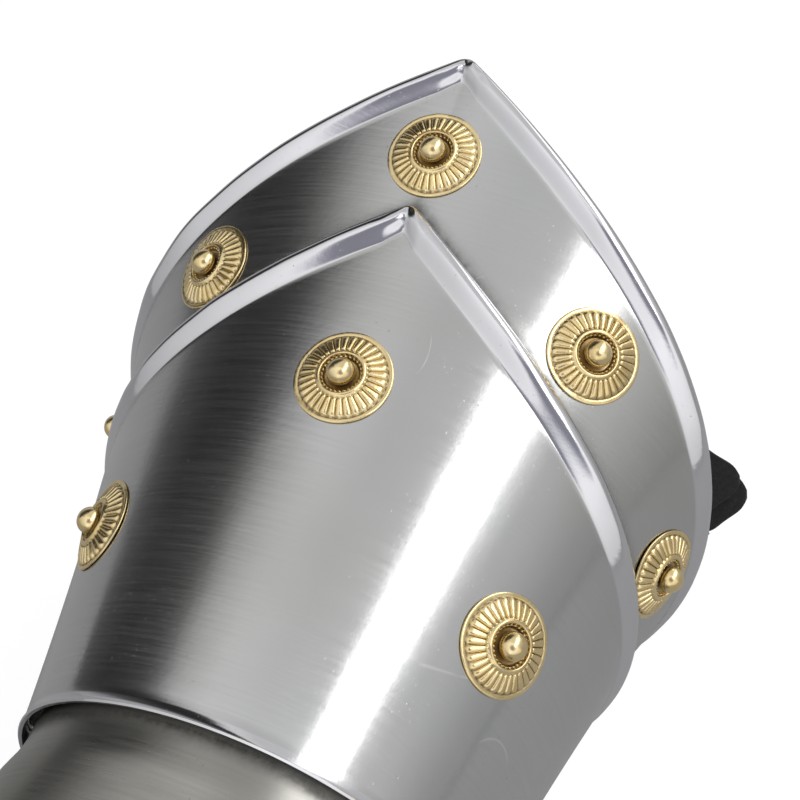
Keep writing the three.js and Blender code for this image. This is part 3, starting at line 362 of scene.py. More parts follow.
def makeLeather(name):
    look = leatherFinish
    material, tree, shader = startMaterial(name, look["shader"])
    position = objectPosition(tree)
    nap = noiseNode(position, look["napScale"], 5.0, 0.7)
    patch = noiseNode(position, look["patchScale"])
    tint = mixColour(mapRange(nap, *look["napTint"]), look["colour"], look["nap"])
    tint = mixColour(mapRange(patch, *look["patchTint"]), tint, look["nap"])
    height = plus(nap, times(patch, look["patchHeight"]))
    grain = bumpNode(height, *look["grain"]).outputs[0]
    setInputs(shader, {"Base Color": tint, "Normal": grain})
    return material


rivetSteel = makeRivetSteel("polished rivet steel", rivetFinish["colour"])
suede = makeLeather("black suede")
looks = {  # material, slot, last word of the piece's name, angle up to which an edge is smooth
    "cuff": (makeSteel("satin cuff steel", cuffFinish), "polished_steel", "steel", 0.6),
    "hand": (makeSteel("satin hand steel", handFinish), "dark_steel", "steel", 0.6),
    "rivet": (rivetSteel, "rivet_steel", "steel", 0.9),
    "buckle": (makeRivetSteel("worn buckle steel", cuffFinish["shade"]), "buckle_steel", "steel", 0.8),
    "rosette": (makeBrass("rosette brass", (0.16, 0.3)), "rosette_brass", "brass", 0.9),
    "dome": (makeBrass("rivet brass", (0.17, 0.25)), "rivet_brass", "brass", 0.9),
    "strap": (suede, "strap_leather", "suede", 3), "strip": (suede, "strap_leather", "suede", 0.9),
}
print("stage: materials made")

# Cuff plates

cuffForm = {
    "reach": 100, "wristHalfWidth": 48.1, "reachHalfWidth": 72.2, "hollow": 1.5, "wristRoundness": 0.935,
    "reachRoundness": 0.865, "rise": 8.2, "halfAngle": 2.76, "ground": -40, "columns": 300,
}
mainPlate = {
    "tip": 109.6, "side": 51.9, "sweep": 0.96, "beadWidth": 6.0, "beadHeight": 2.3, "lipLength": 2.2,
    "lipHeight": 0.8, "seed": 1.7,
}
rearPlate = {
    "tip": 145, "side": 70, "sweep": 0.8, "beadWidth": 5.2, "beadHeight": 2.2, "lap": 54, "lapSweep": 0.12,
    "layerGap": 0.6, "flare": 0.09, "flareStart": 2, "flareSoftness": 4, "seed": 5.3,
}
rimDetail = {
    "blunt": 0.012, "bluntTurn": 0.05, "mitreWidth": 0.9, "mitreDepth": 0.45, "crumple": 0.35,
    "crumpleReach": 5, "waver": 0.1, "fadeStart": 0.75, "fadeEnd": 1.45, "fadeTo": 0.45, "shineRise": 12,
    "rollSteps": 7, "rollShare": 0.8, "rollDrop": 0.7, "underShare": 1.75, "innerShare": 1.9,
}
rimProfile = [  # shares of the rim's width and height, from the plate over the ridge to the edge
    *((0.0, 0.0), (0.03, 0.02), (0.07, 0.07), (0.13, 0.18), (0.2, 0.32), (0.27, 0.46), (0.34, 0.6)),
    *((0.41, 0.73), (0.48, 0.85), (0.54, 0.93), (0.6, 0.98), (0.66, 1.0), (0.73, 0.98), (0.8, 0.91)),
    *((0.87, 0.79), (0.93, 0.61), (0.97, 0.41), (0.99, 0.22), (1.0, 0.0)),
]
lipDetail = {  # the turned-out wrist edge of the main plate: its edge first, then where it runs down to the plate
    "edge": ((0.25, -1.2), (-0.1, -0.9), (-0.1, -0.2), (0.3, 0.05)), "shares": (0.3, 0.5, 0.7, 0.85),
    "curve": 1.3, "shine": 0.8, "sideHeight": 0.35,
}
faceDetail = {"outerSteps": 64, "innerSteps": 16, "crowding": 0.12, "gap": 0.3, "grimeAndShade": 0.85, "grimeAndShadeWidth": 2.4}


def rimAt(plate, angle, blunt=0.0):
    return plate["side"] + (plate["tip"] - plate["side"]) * exp(-plate["sweep"] * hypot(angle, blunt))


def rimSlope(plate, angle):
    return plate["sweep"] * (plate["tip"] - plate["side"]) * exp(-plate["sweep"] * abs(angle))


def cuffHalfWidth(along):
    share = along / cuffForm["reach"]
    straight = lerp(cuffForm["wristHalfWidth"], cuffForm["reachHalfWidth"], share)
    return straight - 4 * cuffForm["hollow"] * share * (1 - share)


def cuffSurface(angle, along, plate):
    share = along / cuffForm["reach"]
    halfWidth = cuffHalfWidth(along)
    if plate is rearPlate:
        past = along - rimAt(mainPlate, angle) - plate["flareStart"]
        eased = (past + hypot(past, plate["flareSoftness"])) / 2
        halfWidth += plate["flare"] * eased - sheet["plate"] - plate["layerGap"]
    height = halfWidth * lerp(cuffForm["wristRoundness"], cuffForm["reachRoundness"], share)
    return Vector((-along, halfWidth * sin(angle), height * cos(angle) + cuffForm["rise"] * share))


def cuffNormal(angle, along, plate):
    turn, step = 0.001, 0.1
    byAngle = cuffSurface(angle + turn, along, plate) - cuffSurface(angle - turn, along, plate)
    byLength = cuffSurface(angle, along + step, plate) - cuffSurface(angle, along - step, plate)
    return -(byLength.cross(byAngle)).normalized()


def cuffPoint(angle, along, lift, plate):
    return cuffSurface(angle, along, plate) + cuffNormal(angle, along, plate) * lift


def cuffFrame(angle, along, plate):
    return frameAt(cuffSurface(angle, along, plate), cuffNormal(angle, along, plate), Vector((-1, 0, 0)))


def plateStart(plate, angle):
    if plate is mainPlate:
        return 0
    return rimAt(mainPlate, angle) - plate["lap"] * exp(-plate["lapSweep"] * angle * angle)


def smoothStep(low, high, value):
    share = min(max((value - low) / (high - low), 0), 1)
    return share * share * (3 - 2 * share)


def beadLift(plate, share, rise, angle, across):  # the rolled rim with its mitred, slightly crumpled tip
    size = rimDetail
    fade = lerp(1, size["fadeTo"], smoothStep(size["fadeStart"], size["fadeEnd"], abs(angle)))
    cut = size["mitreDepth"] * exp(-((across / size["mitreWidth"]) ** 2))
    near = exp(-((across / size["crumpleReach"]) ** 2))
    rough = noise.noise(Vector((across * 0.35, share * 4, plate["seed"])))
    waver = 1 + size["waver"] * noise.noise(Vector((angle * 9, plate["seed"], 0.3)))
    return (plate["beadHeight"] * fade * waver - cut + size["crumple"] * near * rough) * rise


def cuffRing(plate, angle):  # one section, wrist end, outer face, rolled rim and inner face, with shine, and grime with painted shade
    size, face, thick = rimDetail, faceDetail, sheet["plate"]
    rim = rimAt(plate, angle, size["blunt"])
    stretch = hypot(1, rimSlope(plate, angle) / cuffHalfWidth(rim))
    stretch = lerp(1, stretch, min(abs(angle) / size["bluntTurn"], 1))
    half = plate["beadWidth"] / 2 * max(stretch, 1.0)
    across = angle * cuffHalfWidth(rim)
    start = plateStart(plate, angle)
    ring = []  # along, lift, shine, and grime with painted shade

    if plate is mainPlate:
        lip = plate["lipLength"]
        height = plate["lipHeight"] * lerp(lipDetail["sideHeight"], 1, max(cos(angle), 0))
        ring += [(along, height + lift, 1, 0) for along, lift in lipDetail["edge"]]
        for share in lipDetail["shares"]:
            ring.append((lip * share, height * (1 - share) ** lipDetail["curve"], lipDetail["shine"], 0))
        start = lip
    crease = rim - 2 * half
    for k in range(face["outerSteps"]):
        share = k / face["outerSteps"]
        along = lerp(start, crease - face["gap"], share + face["crowding"] * sin(pi * share) * share)
        # grime and painted shade on the rear plate, in a band just past the main plate's rim
        past = (along - rimAt(mainPlate, angle)) / face["grimeAndShadeWidth"]
        ring.append((along, 0, 0, face["grimeAndShade"] * exp(-past * past) if plate is rearPlate else 0))
    for share, rise in rimProfile:
        lift = beadLift(plate, share, rise, angle, across)
        ring.append((crease + 2 * half * share, lift, min(share * size["shineRise"], 1), 0))
    for k in range(1, size["rollSteps"]):
        turn = pi * (1 + k / size["rollSteps"])
        back = half * size["rollShare"] * (1 + cos(turn))
        ring.append((rim - back, (thick + size["rollDrop"]) * sin(turn), 1, 0))
    ring.append((rim - size["underShare"] * half, -thick + 0.1, 0.2, 0))
    for k in range(face["innerSteps"]):
        along = lerp(rim - size["innerShare"] * half, start + face["gap"], k / (face["innerSteps"] - 1))
        ring.append((along, -thick, 0, 0))
    return ring


def cuffPlate(plate):
    rings, columns = [], cuffForm["columns"]
    layers = {"edgePolish": [], "crevice": []}
    for j in range(columns + 1):
        share = 2 * j / columns - 1
        angle = cuffForm["halfAngle"] * (0.35 * share + 0.65 * share**3)  # closer together over the ridge
        ring = cuffRing(plate, angle)
        rings.append([cuffPoint(angle, along, lift, plate) for along, lift, shine, grimeAndShade in ring])
        layers["edgePolish"].append([shine for along, lift, shine, grimeAndShade in ring])
        layers["crevice"].append([grimeAndShade for along, lift, shine, grimeAndShade in ring])
    shape = loft(rings, layers)
    geometry = shape.verts[:] + shape.edges[:] + shape.faces[:]
    ground = (0, 0, cuffForm["ground"])
    bmesh.ops.bisect_plane(shape, geom=geometry, plane_co=ground, plane_no=(0, 0, 1), clear_inner=True)
    fillHoles(shape)
    return shape


for plate, name in ((mainPlate, "main_cuff_plate"), (rearPlate, "rear_cuff_plate")):
    finishPiece(name, cuffPlate(plate), "cuff", "cuff")
print("stage: cuff plates made")

# Rosettes and their rivets

rosette = {
    "flutes": 32, "stepsPerFlute": 8, "fluteOuter": 9.0, "fluteInner": 5.4, "fluteHeight": 0.52,
    "fluteRound": 2.4, "outerEnd": 0.75, "innerStart": 0.3, "innerEnd": 0.4, "crownClear": 2.2, "beads": 26,
    "beadRadius": 3.85, "beadHalfWidth": 0.2, "beadFall": 0.3, "beadHeight": 0.45, "beadClear": 0.8,
    "topFrom": 0.3, "wobble": 0.1, "wobbleScale": 0.35,
}
rosetteSpots = {
    "main_centre": (mainPlate, 0, 69.85),
    "main_left": (mainPlate, -0.8907, 38.68),
    "main_right": (mainPlate, 0.8907, 38.68),
    "rear_centre": (rearPlate, 0, 122.03),
    "rear_inner_left": (rearPlate, -0.6557, 95.83),
    "rear_inner_right": (rearPlate, 0.6557, 95.83),
    "rear_outer_left": (rearPlate, -1.418, 77.6),
    "rear_outer_right": (rearPlate, 1.418, 77.6),
}
rosetteProfile = [  # radius, height and how much grime and painted shade lies there: the foot, the rim, the flutes, the ring, the recess
    *((1.7, 0.04, 0), (5.0, 0.04, 0), (9.7, 0.04, 0), (9.92, 0.1, 0.5), (10.0, 0.22, 0.2), (9.98, 0.36, 0)),
    *((9.9, 0.45, 0), (9.7, 0.49, 0), (9.45, 0.5, 0), (9.22, 0.48, 0), (9.08, 0.42, 0.4), (8.96, 0.36, 0.9)),
    *((8.84, 0.39, 0.8), (8.66, 0.45, 0.6), (8.3, 0.56, 0.6), (7.8, 0.7, 0.6), (7.3, 0.86, 0.6), (6.8, 1.01, 0.6)),
    *((6.3, 1.15, 0.6), (5.9, 1.26, 0.7), (5.6, 1.34, 0.9), (5.46, 1.4, 0.9), (5.34, 1.56, 0.5), (5.2, 1.8, 0.1)),
    *((5.0, 2.02, 0), (4.78, 2.18, 0), (4.54, 2.24, 0), (4.36, 2.18, 0), (4.24, 2.02, 0.1), (4.16, 1.82, 0.4)),
    *((4.1, 1.64, 0.8), (3.98, 1.58, 0.5), (3.85, 1.56, 0.3), (3.72, 1.48, 0.5), (3.6, 1.3, 0.7), (3.5, 1.1, 0.7)),
    *((3.3, 1.0, 0.4), (2.4, 0.95, 0.9), (1.7, 0.95, 1), (1.7, 0.04, 0)),
]


def rosetteShape(seatDrop, seed):
    size = rosette
    steps = size["flutes"] * size["stepsPerFlute"]
    shape = spinProfile([(radius, height) for radius, height, grimeAndShade in rosetteProfile], steps)
    crevice = shape.verts.layers.float.new("crevice")
    for vert in shape.verts:
        radius = hypot(vert.co.x, vert.co.y)
        turn = atan2(vert.co.y, vert.co.x)
        # grime and painted shade from the profile table, most on the recess floor under the rivet dome
        grimeAndShade = min(rosetteProfile, key=lambda row: abs(row[0] - radius) + 2 * abs(row[1] - vert.co.z))[2]
        top = vert.co.z > size["topFrom"]
        if top and size["fluteInner"] - 0.1 < radius < size["fluteOuter"]:
            share = turn * size["flutes"] / (2 * pi)
            side = 2 * (share - floor(share)) - 1
            outer = max((radius - (size["fluteOuter"] - size["outerEnd"])) / size["outerEnd"], 0)
            inner = max((size["fluteInner"] + size["innerStart"] - radius) / size["innerEnd"], 0)
            dome = sqrt(max(1 - abs(side) ** size["fluteRound"] - outer**2 - inner**2, 0))
            vert.co.z += size["fluteHeight"] * dome
            grimeAndShade = max(grimeAndShade * (1 - dome * size["crownClear"]), 0)
        offBeads = abs(radius - size["beadRadius"])
        if top and offBeads < size["beadHalfWidth"]:
            bead = 0.5 + 0.5 * cos(turn * size["beads"])
            vert.co.z += size["beadHeight"] * bead * (1 - offBeads / size["beadFall"])
            grimeAndShade *= 1 - size["beadClear"] * bead
        vert[crevice] = min(grimeAndShade, 1)
        wobbleAt = Vector((vert.co.x * size["wobbleScale"], vert.co.y * size["wobbleScale"], seed))
        wobble = size["wobble"] * noise.noise(wobbleAt) if top else 0
        vert.co.z += wobble + seatDrop(vert.co.x, vert.co.y)
    return shape


def seatDropAt(plate, angle, along):
    inverse = cuffFrame(angle, along, plate).inverted()
    around = cuffHalfWidth(along)

    def drop(x, y):
        return (inverse @ cuffSurface(angle - y / around, along + x, plate)).z

    return drop


domedRivet = {
    "head": 2.85, "under": 2.2, "neck": 1.8, "neckDrop": 0.5, "rim": 1.35, "rimInset": 0.12, "rimRise": 0.55,
    "waist": 2.45, "top": 5.15, "fullness": 0.94, "shank": 1.6, "tail": 2.8, "tailHeight": 0.9, "seat": 1.55,
    "steps": 48,
}


def tailProfile(size, level, steps):  # the hammered end inside the plate, up to the shank
    profile = [(0, level - size["tailHeight"])]
    for k in range(1, steps + 1):
        turn = pi / 2 * k / steps
        profile.append((size["tail"] * sin(turn), level - size["tailHeight"] * cos(turn)))
    return profile + [(size["shank"], level)]


def domedRivetShape(grip):
    size, seat = domedRivet, domedRivet["seat"]
    neckFrom = seat - size["neckDrop"]
    profile = tailProfile(size, seat - grip, 6) + [(size["shank"], neckFrom), (size["neck"], neckFrom)]
    profile += [(size["neck"], size["rim"]), (size["under"], size["rim"])]
    profile.append((size["head"] - size["rimInset"], size["rim"] + size["rimRise"]))
    for k in range(17):
        turn = pi / 2 * k / 16
        lift = (size["top"] - size["waist"]) * sin(turn)
        profile.append((size["head"] * cos(turn) ** size["fullness"] if k < 16 else 0, size["waist"] + lift))
    return spinProfile(profile, size["steps"])


for number, (name, (plate, angle, along)) in enumerate(rosetteSpots.items()):
    place = cuffFrame(angle, along, plate)
    washer = rosetteShape(seatDropAt(plate, angle, along), number * 3.1)
    finishPiece("rosette_" + name, washer, "rosette", "cuff", place)
    layers = 2 if plate is mainPlate else 1
    grip = domedRivet["seat"] + layers * sheet["plate"] + (layers - 1) * rearPlate["layerGap"] + sheet["restGap"]
    finishPiece("rosette_rivet_" + name, domedRivetShape(grip), "dome", "cuff", place)
print("stage: rosettes made")

# Low steel rivets

wristRivet = {"head": 3.8, "height": 3.2, "shank": 1.5, "tail": 2.7, "tailHeight": 0.8}
lameRivet = {"head": 2.4, "height": 1.2, "shank": 1.1, "tail": 2.0, "tailHeight": 0.6}
strapRivet = {"head": 3.0, "height": 1.4, "shank": 1.3, "tail": 2.6, "tailHeight": 0.7}
rivetEdge = 0.15  # the small bevel under a low head


def lowRivetShape(size, grip, seat):
    edge = seat + rivetEdge
    profile = tailProfile(size, seat - grip, 5)
    profile += [(size["shank"], seat), (size["head"] - rivetEdge, seat), (size["head"], edge)]
    for k in range(1, 11):
        turn = pi / 2 * k / 10
        profile.append((size["head"] * cos(turn), edge + (size["height"] - rivetEdge) * sin(turn)))
    return spinProfile(profile, 32)


lamePlate = {"length": 18, "rearTop": 7, "rearSide": 5}
handPlates = [
    {"name": "hand_plate", "height": 43.0, "halfWidth": 46.1, "bulge": 2.0, "length": 36, "rearTop": 24, "rearSide": 8},
    {**lamePlate, "name": "metacarpal_lame_1", "height": 37.5, "halfWidth": 48.8, "bulge": 2.15},
    {**lamePlate, "name": "metacarpal_lame_2", "height": 34.7, "halfWidth": 48.8, "bulge": 2.3},
    {**lamePlate, "name": "knuckle_plate", "height": 32.0, "halfWidth": 48.8, "bulge": 2.45, "length": 28},
]
handForm = {"halfAngle": 1.72, "lap": 5, "sink": 1, "pitch": 0.122, "columns": 132}
swell = {
    "height": 2.6,  # how far the hand plate stands out beside the wrist
    "rise": (6, 14), "fall": (27, 37), "power": 6, "lowTurn": (-0.05, 0.1), "lowFade": (14, 24),
}
knuckleFront = {"height": 28.5, "halfWidth": 50, "bulge": 3.0}
boss = {"radius": 9.5, "height": 3.2, "back": 6}
handBodies = ["hand", "lame_1", "lame_2", "knuckles"]
handHinges = ["wrist_hinge", "lame_1_hinge", "lame_2_hinge", "knuckle_hinge"]
axisX = Vector((1, 0, 0))


def jointAt(name):
    return toModel @ Vector(joints[name]["pos_m"])


def handFrame(index):
    return Matrix.Translation(jointAt(handHinges[index])) @ Matrix.Rotation(handForm["pitch"], 4, "Y")


def addWristRivet(side, node):
    outer = cuffPoint(pi / 2 * side, wristBack, sheet["restGap"], mainPlate).y * side
    inner = handPlates[0]["halfWidth"] - sheet["plate"] - sheet["restGap"]
    shape = lowRivetShape(wristRivet, outer - inner, outer)
    lean = cuffNormal(pi / 2 * side, wristBack, mainPlate)
    tilt = atan2(lean.x, lean.y * side)
    turn = Matrix.Translation((0, 0, outer)) @ Matrix.Rotation(tilt, 4, "Y") @ Matrix.Translation((0, 0, -outer))
    head = [vert for vert in shape.verts if vert.co.z > outer - 0.05]
    bmesh.ops.transform(shape, matrix=turn, verts=head)
    finishPiece(node, shape, "rivet", "cuff", frameAt(Vector((-wristBack, 0, 0)), Vector((0, side, 0)), axisX))


addWristRivet(1, "wrist_rivet_thumb_side")
addWristRivet(-1, "wrist_rivet_little_side")
for index in (1, 2, 3):
    cover = handPlates[index]["halfWidth"] + sheet["plate"] + sheet["nestGap"]
    grip = 2 * (sheet["plate"] + sheet["restGap"]) + sheet["nestGap"]
    for side, label in ((1, "thumb"), (-1, "little")):
        place = handFrame(index) @ frameAt(Vector(), Vector((0, side, 0)), axisX)
        shape = lowRivetShape(lameRivet, grip, cover + sheet["restGap"] / 2)
        finishPiece(f"lame_rivet_{index}_{label}_side", shape, "rivet", handBodies[index - 1], place)
print("stage: rivets made")

# Hand plates and finger plates: a rear part turned about the hinge, a straight part and a lap


def sectionScale(turn, bulge):
    return (abs(sin(turn)) ** bulge + abs(cos(turn)) ** bulge) ** (-1 / bulge)


def turnedScale(turn, rear, back):
    side, top = abs(sin(turn)), abs(cos(turn))
    low, high = 0.0, 2.0
    for k in range(34):
        scale = (low + high) / 2
        radius = hypot(back, rear["height"] * scale * top) / rear["height"]
        if (scale * side) ** rear["bulge"] + radius ** rear["bulge"] > 1:
            high = scale
        else:
            low = scale
    return low


def rearPoint(plate, inset, turn, sweep):
    rear = {key: plate["rear"][key] - (0 if key == "bulge" else inset) for key in ("height", "halfWidth", "bulge")}
    back = rear["height"] * sin(sweep)
    scale = turnedScale(turn, rear, back)
    return Vector((-back, rear["halfWidth"] * scale * sin(turn), rear["height"] * scale * cos(turn)))


def bodyShare(plate, x):
    start, end = plate["tuck"], plate["length"] - plate["seat"]
    return min(max((x - start) / (end - start), 0), 1)


def bodyPoint(plate, inset, turn, x, shrink=1.0, share=None):
    share = bodyShare(plate, x) if share is None else share
    rear, front = plate["rear"], plate["front"]
    halfWidth = (lerp(rear["halfWidth"], front["halfWidth"], share) - inset) * shrink
    height = (lerp(rear["height"], front["height"], share) - inset) * shrink
    scale = sectionScale(turn, lerp(rear["bulge"], front["bulge"], share))
    if plate["swells"]:  # wider beside the wrist, with the low rear corners drawn in under the cuff
        out = smoothStep(*swell["rise"], x) - smoothStep(*swell["fall"], x)
        low = smoothStep(*swell["lowTurn"], -cos(turn)) * (1 - smoothStep(*swell["lowFade"], x))
        halfWidth += swell["height"] * out * sin(turn) ** swell["power"] * (1 - low) - plate["tuck"] * low
    y, z = halfWidth * scale * sin(turn), -plate["sink"] * share + height * scale * cos(turn)
    lift = 0.0
    for centreX, centreY in plate.get("bosses", ()):
        far = hypot(x - centreX, y - centreY) / boss["radius"]
        if far < 1:
            lift += boss["height"] * (1 + cos(pi * far)) / 2
    return Vector((x, y + lift * sin(turn), z + lift * cos(turn)))


def plateFace(plate, inset, turn):
    ease = max(cos(turn), 0) ** 2
    sweep = asin(lerp(plate["rearSide"], plate["rearTop"], ease) / plate["rear"]["height"])
    rearSteps, bodySteps = plate["rearSteps"], plate["bodySteps"]
    face = [rearPoint(plate, inset, turn, sweep * (1 - k / rearSteps)) for k in range(rearSteps)]
    nose = plate.get("nose", 0)
    reach = plate["length"] - nose if nose else plate["length"] + plate["lap"]
    face += [bodyPoint(plate, inset, turn, reach * k / bodySteps) for k in range(bodySteps + 1)]
    if nose:
        share = bodyShare(plate, reach)
        for k in range(1, 9):
            sweep = pi / 2 * k / 8
            x = reach + (nose - inset) * sin(sweep)
            face.append(bodyPoint(plate, inset, turn, x, max(cos(sweep), 0.002), share))
    return face


edgeBevel = {"width": 0.22, "sharper": 1.0}
grimeAndShadeBand = 1.3  # width of the line of grime and painted shade where a plate goes in under the one behind it


def plateShape(plate):
    rings, grimeAndShade = [], []
    columns = plate["columns"]
    for j in range(columns + 1):
        turn = plate["halfAngle"] * (2 * j / columns - 1)
        outer, inner = plateFace(plate, 0, turn), plateFace(plate, plate["sheet"], turn)
        rings.append(outer + inner[::-1])
        # grime and painted shade where this plate goes in under the one behind it
        past = [(point.x + point.z * plate["slant"] - plate["grimeAndShadeAt"]) / grimeAndShadeBand for point in rings[-1]]
        grimeAndShade.append([plate["grimeAndShade"] * exp(-(reach**2)) for reach in past])
    shape = loft(rings, {"crevice": grimeAndShade})
    softenEdges(shape, edgeBevel["width"], edgeBevel["sharper"])
    return shape


fingerForm = {
    "rootBack": 4, "halfAngle": 1.7, "lap": 3.5, "rearSide": 4, "taper": 1.1, "nose": 11,
    "rearTurn": [0.9, 1.08, 0.68], "tipRest": 0.17, "columns": 44,
}
fingers = {
    "index": {"across": 33.6, "radius": 10.0, "lengths": [43, 27, 25]},
    "middle": {"across": 11.3, "radius": 10.2, "lengths": [46, 30, 26]},
    "ring": {"across": -11.2, "radius": 10.0, "lengths": [43, 28, 25]},
    "little": {"across": -32.6, "radius": 9.2, "lengths": [34, 22, 22]},
}
thumbForm = {"radius": 11.4, "lengths": [33, 28, 26], "tipRest": 0.16}


def coverOf(size, thickness):
    cover = thickness + sheet["nestGap"]
    return {"height": size["height"] + cover, "halfWidth": size["halfWidth"] + cover, "bulge": size["bulge"]}


def handPlateForm(index):
    own = handPlates[index]
    first, last = index == 0, index == len(handPlates) - 1
    lap = handForm["lap"]
    form = {
        **own,
        "rear": own, "sink": handForm["sink"], "sheet": sheet["plate"], "halfAngle": handForm["halfAngle"],
        "columns": 200 if last else handForm["columns"], "rearSteps": 14 if first else 6,
        "bodySteps": 44 if last else 26, "lap": 0 if last else lap, "swells": first,
        "tuck": wristBack + mainPlate["lipLength"] if first else lap, "grimeAndShade": 0.8 if first else 0.7,
        "grimeAndShadeAt": wristBack + 0.4 if first else lap, "slant": handForm["pitch"] if first else 0,
    }
    if last:
        bossAt = own["length"] - fingerForm["rootBack"] - boss["back"]
        bosses = [(bossAt, finger["across"]) for finger in fingers.values()]
        return {**form, "front": knuckleFront, "seat": 0, "bosses": bosses}
    following = handPlates[index + 1]
    return {**form, "front": coverOf(following, sheet["plate"]), "seat": following["rearTop"] + sheet["nestGap"]}


def fingerPlateForm(one, part):
    own = one["radius"] - fingerForm["taper"] * part
    following = {"height": own - fingerForm["taper"], "halfWidth": own - fingerForm["taper"], "bulge": 2}
    tip = part == 2
    return {
        "rear": {"height": own, "halfWidth": own, "bulge": 2},
        "front": following if tip else coverOf(following, sheet["finger"]), "length": one["lengths"][part],
        "sink": 0, "tuck": fingerForm["lap"], "seat": fingerForm["nose"] if tip else own,
        "lap": fingerForm["lap"], "rearTop": own * sin(fingerForm["rearTurn"][part]),
        "rearSide": fingerForm["rearSide"], "rearSteps": 10, "bodySteps": 16,
        "nose": fingerForm["nose"] if tip else 0, "sheet": sheet["finger"],
        "halfAngle": fingerForm["halfAngle"], "columns": fingerForm["columns"], "swells": False, "grimeAndShade": 0.7,
        "grimeAndShadeAt": fingerForm["lap"], "slant": 0,
    }


for index, own in enumerate(handPlates):
    shape = plateShape(handPlateForm(index))
    finishPiece(own["name"], shape, "hand", handBodies[index], handFrame(index))
print("stage: hand plates made")


def hingeFrames(hinges, tipRest):  # each plate's frame from its own hinge and the next one's
    places = [jointAt(name) for name in hinges]
    frames = []
    for k, name in enumerate(hinges):
        y = Vector(joints[name]["axis"]).normalized()
        if k < 2:
            x = (places[k + 1] - places[k]).normalized()
        else:
            x = Matrix.Rotation(tipRest, 3, y) @ x
        frames.append(axesFrame(places[k], x, y, x.cross(y).normalized()))
    return frames


def addDigitPlates(name, one, hinges, tipRest, parts):
    frames = hingeFrames(hinges, tipRest)
    for part, label in enumerate(parts):
        shape = plateShape(fingerPlateForm(one, part))
        finishPiece(f"{name}_{label}_plate", shape, "hand", f"{name}_{label}", frames[part])
    return frames


fingerFrames = {}
for name, one in fingers.items():
    hinges = [f"{name}_knuckle_hinge", f"{name}_middle_joint", f"{name}_tip_joint"]
    fingerFrames[name] = addDigitPlates(name, one, hinges, fingerForm["tipRest"], ["proximal", "middle", "tip"])
hinges = ["thumb_base_hinge", "thumb_middle_joint", "thumb_tip_joint"]
fingerFrames["thumb"] = addDigitPlates("thumb", thumbForm, hinges, thumbForm["tipRest"], ["base", "proximal", "tip"])
print("stage: finger plates made")

# Leather and buckle

strapForm = {"step": 1.0, "rows": 16}
stripForm = {
    "widthShare": 0.85, "thickness": 1.6, "rows": 8, "edge": 0.4, "dipShare": 0.18, "anchorBack": 25,
    "anchorShares": (1, 0.75), "blendShare": 0.8,
}
closure = {
    "along": 69, "angle": 2.0, "width": 20, "thickness": 2.2, "level": -25, "wallTurn": 0.13, "slotStart": 3.2,
    "slotEnd": 11, "slotHalf": (5.4, 1.9), "sag": 5.2, "sagAt": 8,
}
chape = {
    "width": 16, "thicknessShare": 0.86, "fromWall": (40, -27.2),
    "before": ((12.6, 0), (5.5, 1.6)),  # across and up from the bar
    "after": ((6.5, -1.9), (13, -2.3)), "wrapGap": 0.2, "wrapFrom": 80, "wrapTurn": 200,
    "notchHalf": (5.5, 1.7),
}
buckle = {"across": 12, "width": 27, "length": 21, "wire": 2.8, "thickness": 2.6, "barRadius": 1.4, "corner": 4.5}
wireRoundness = 0.6
prong = {
    "width": 2.6, "thickness": 1.8, "loop": 2.2, "loopThickness": 1.3, "loopFrom": 200, "loopTurn": 290,
    "rootShare": 0.8, "tipWidth": 1.5, "tipThickness": 1.1, "start": -0.8, "overhang": 0.6, "raise": 0.3,
    "bow": 0.5,
}
buckleLevel = closure["level"] - closure["thickness"] / 2 - sheet["restGap"] - buckle["thickness"] / 2


def spreadPath(stations, step):  # evenly spaced places along smoothed stations of point, side and width
    spots = [Vector(station[0]) for station in stations]
    marks = [0.0]
    for first, second in zip(spots, spots[1:]):
        marks.append(marks[-1] + (second - first).length)
    points = smoothPath(spots, marks, 12)
    sides = smoothPath([Vector(station[1]).normalized() for station in stations], marks, 12)
    widths = smoothPath([Vector((station[2], 0, 0)) for station in stations], marks, 12)
    run = [0.0]
    for first, second in zip(points, points[1:]):
        run.append(run[-1] + (second - first).length)
    count = max(round(run[-1] / step), 2)
    places, k = [], 0
    for number in range(count + 1):
        reach = run[-1] * number / count
        while k < len(run) - 2 and run[k + 1] < reach:
            k += 1
        share = (reach - run[k]) / max(run[k + 1] - run[k], 1e-6)
        point = points[k].lerp(points[k + 1], share)
        ahead = (points[min(k + 1, len(points) - 1)] - points[max(k - 1, 0)]).normalized()
        side = sides[k].lerp(sides[k + 1], share)
        side = (side - ahead * side.dot(ahead)).normalized()
        places.append((point, side, ahead.cross(side), lerp(widths[k].x, widths[k + 1].x, share), reach))
    return places


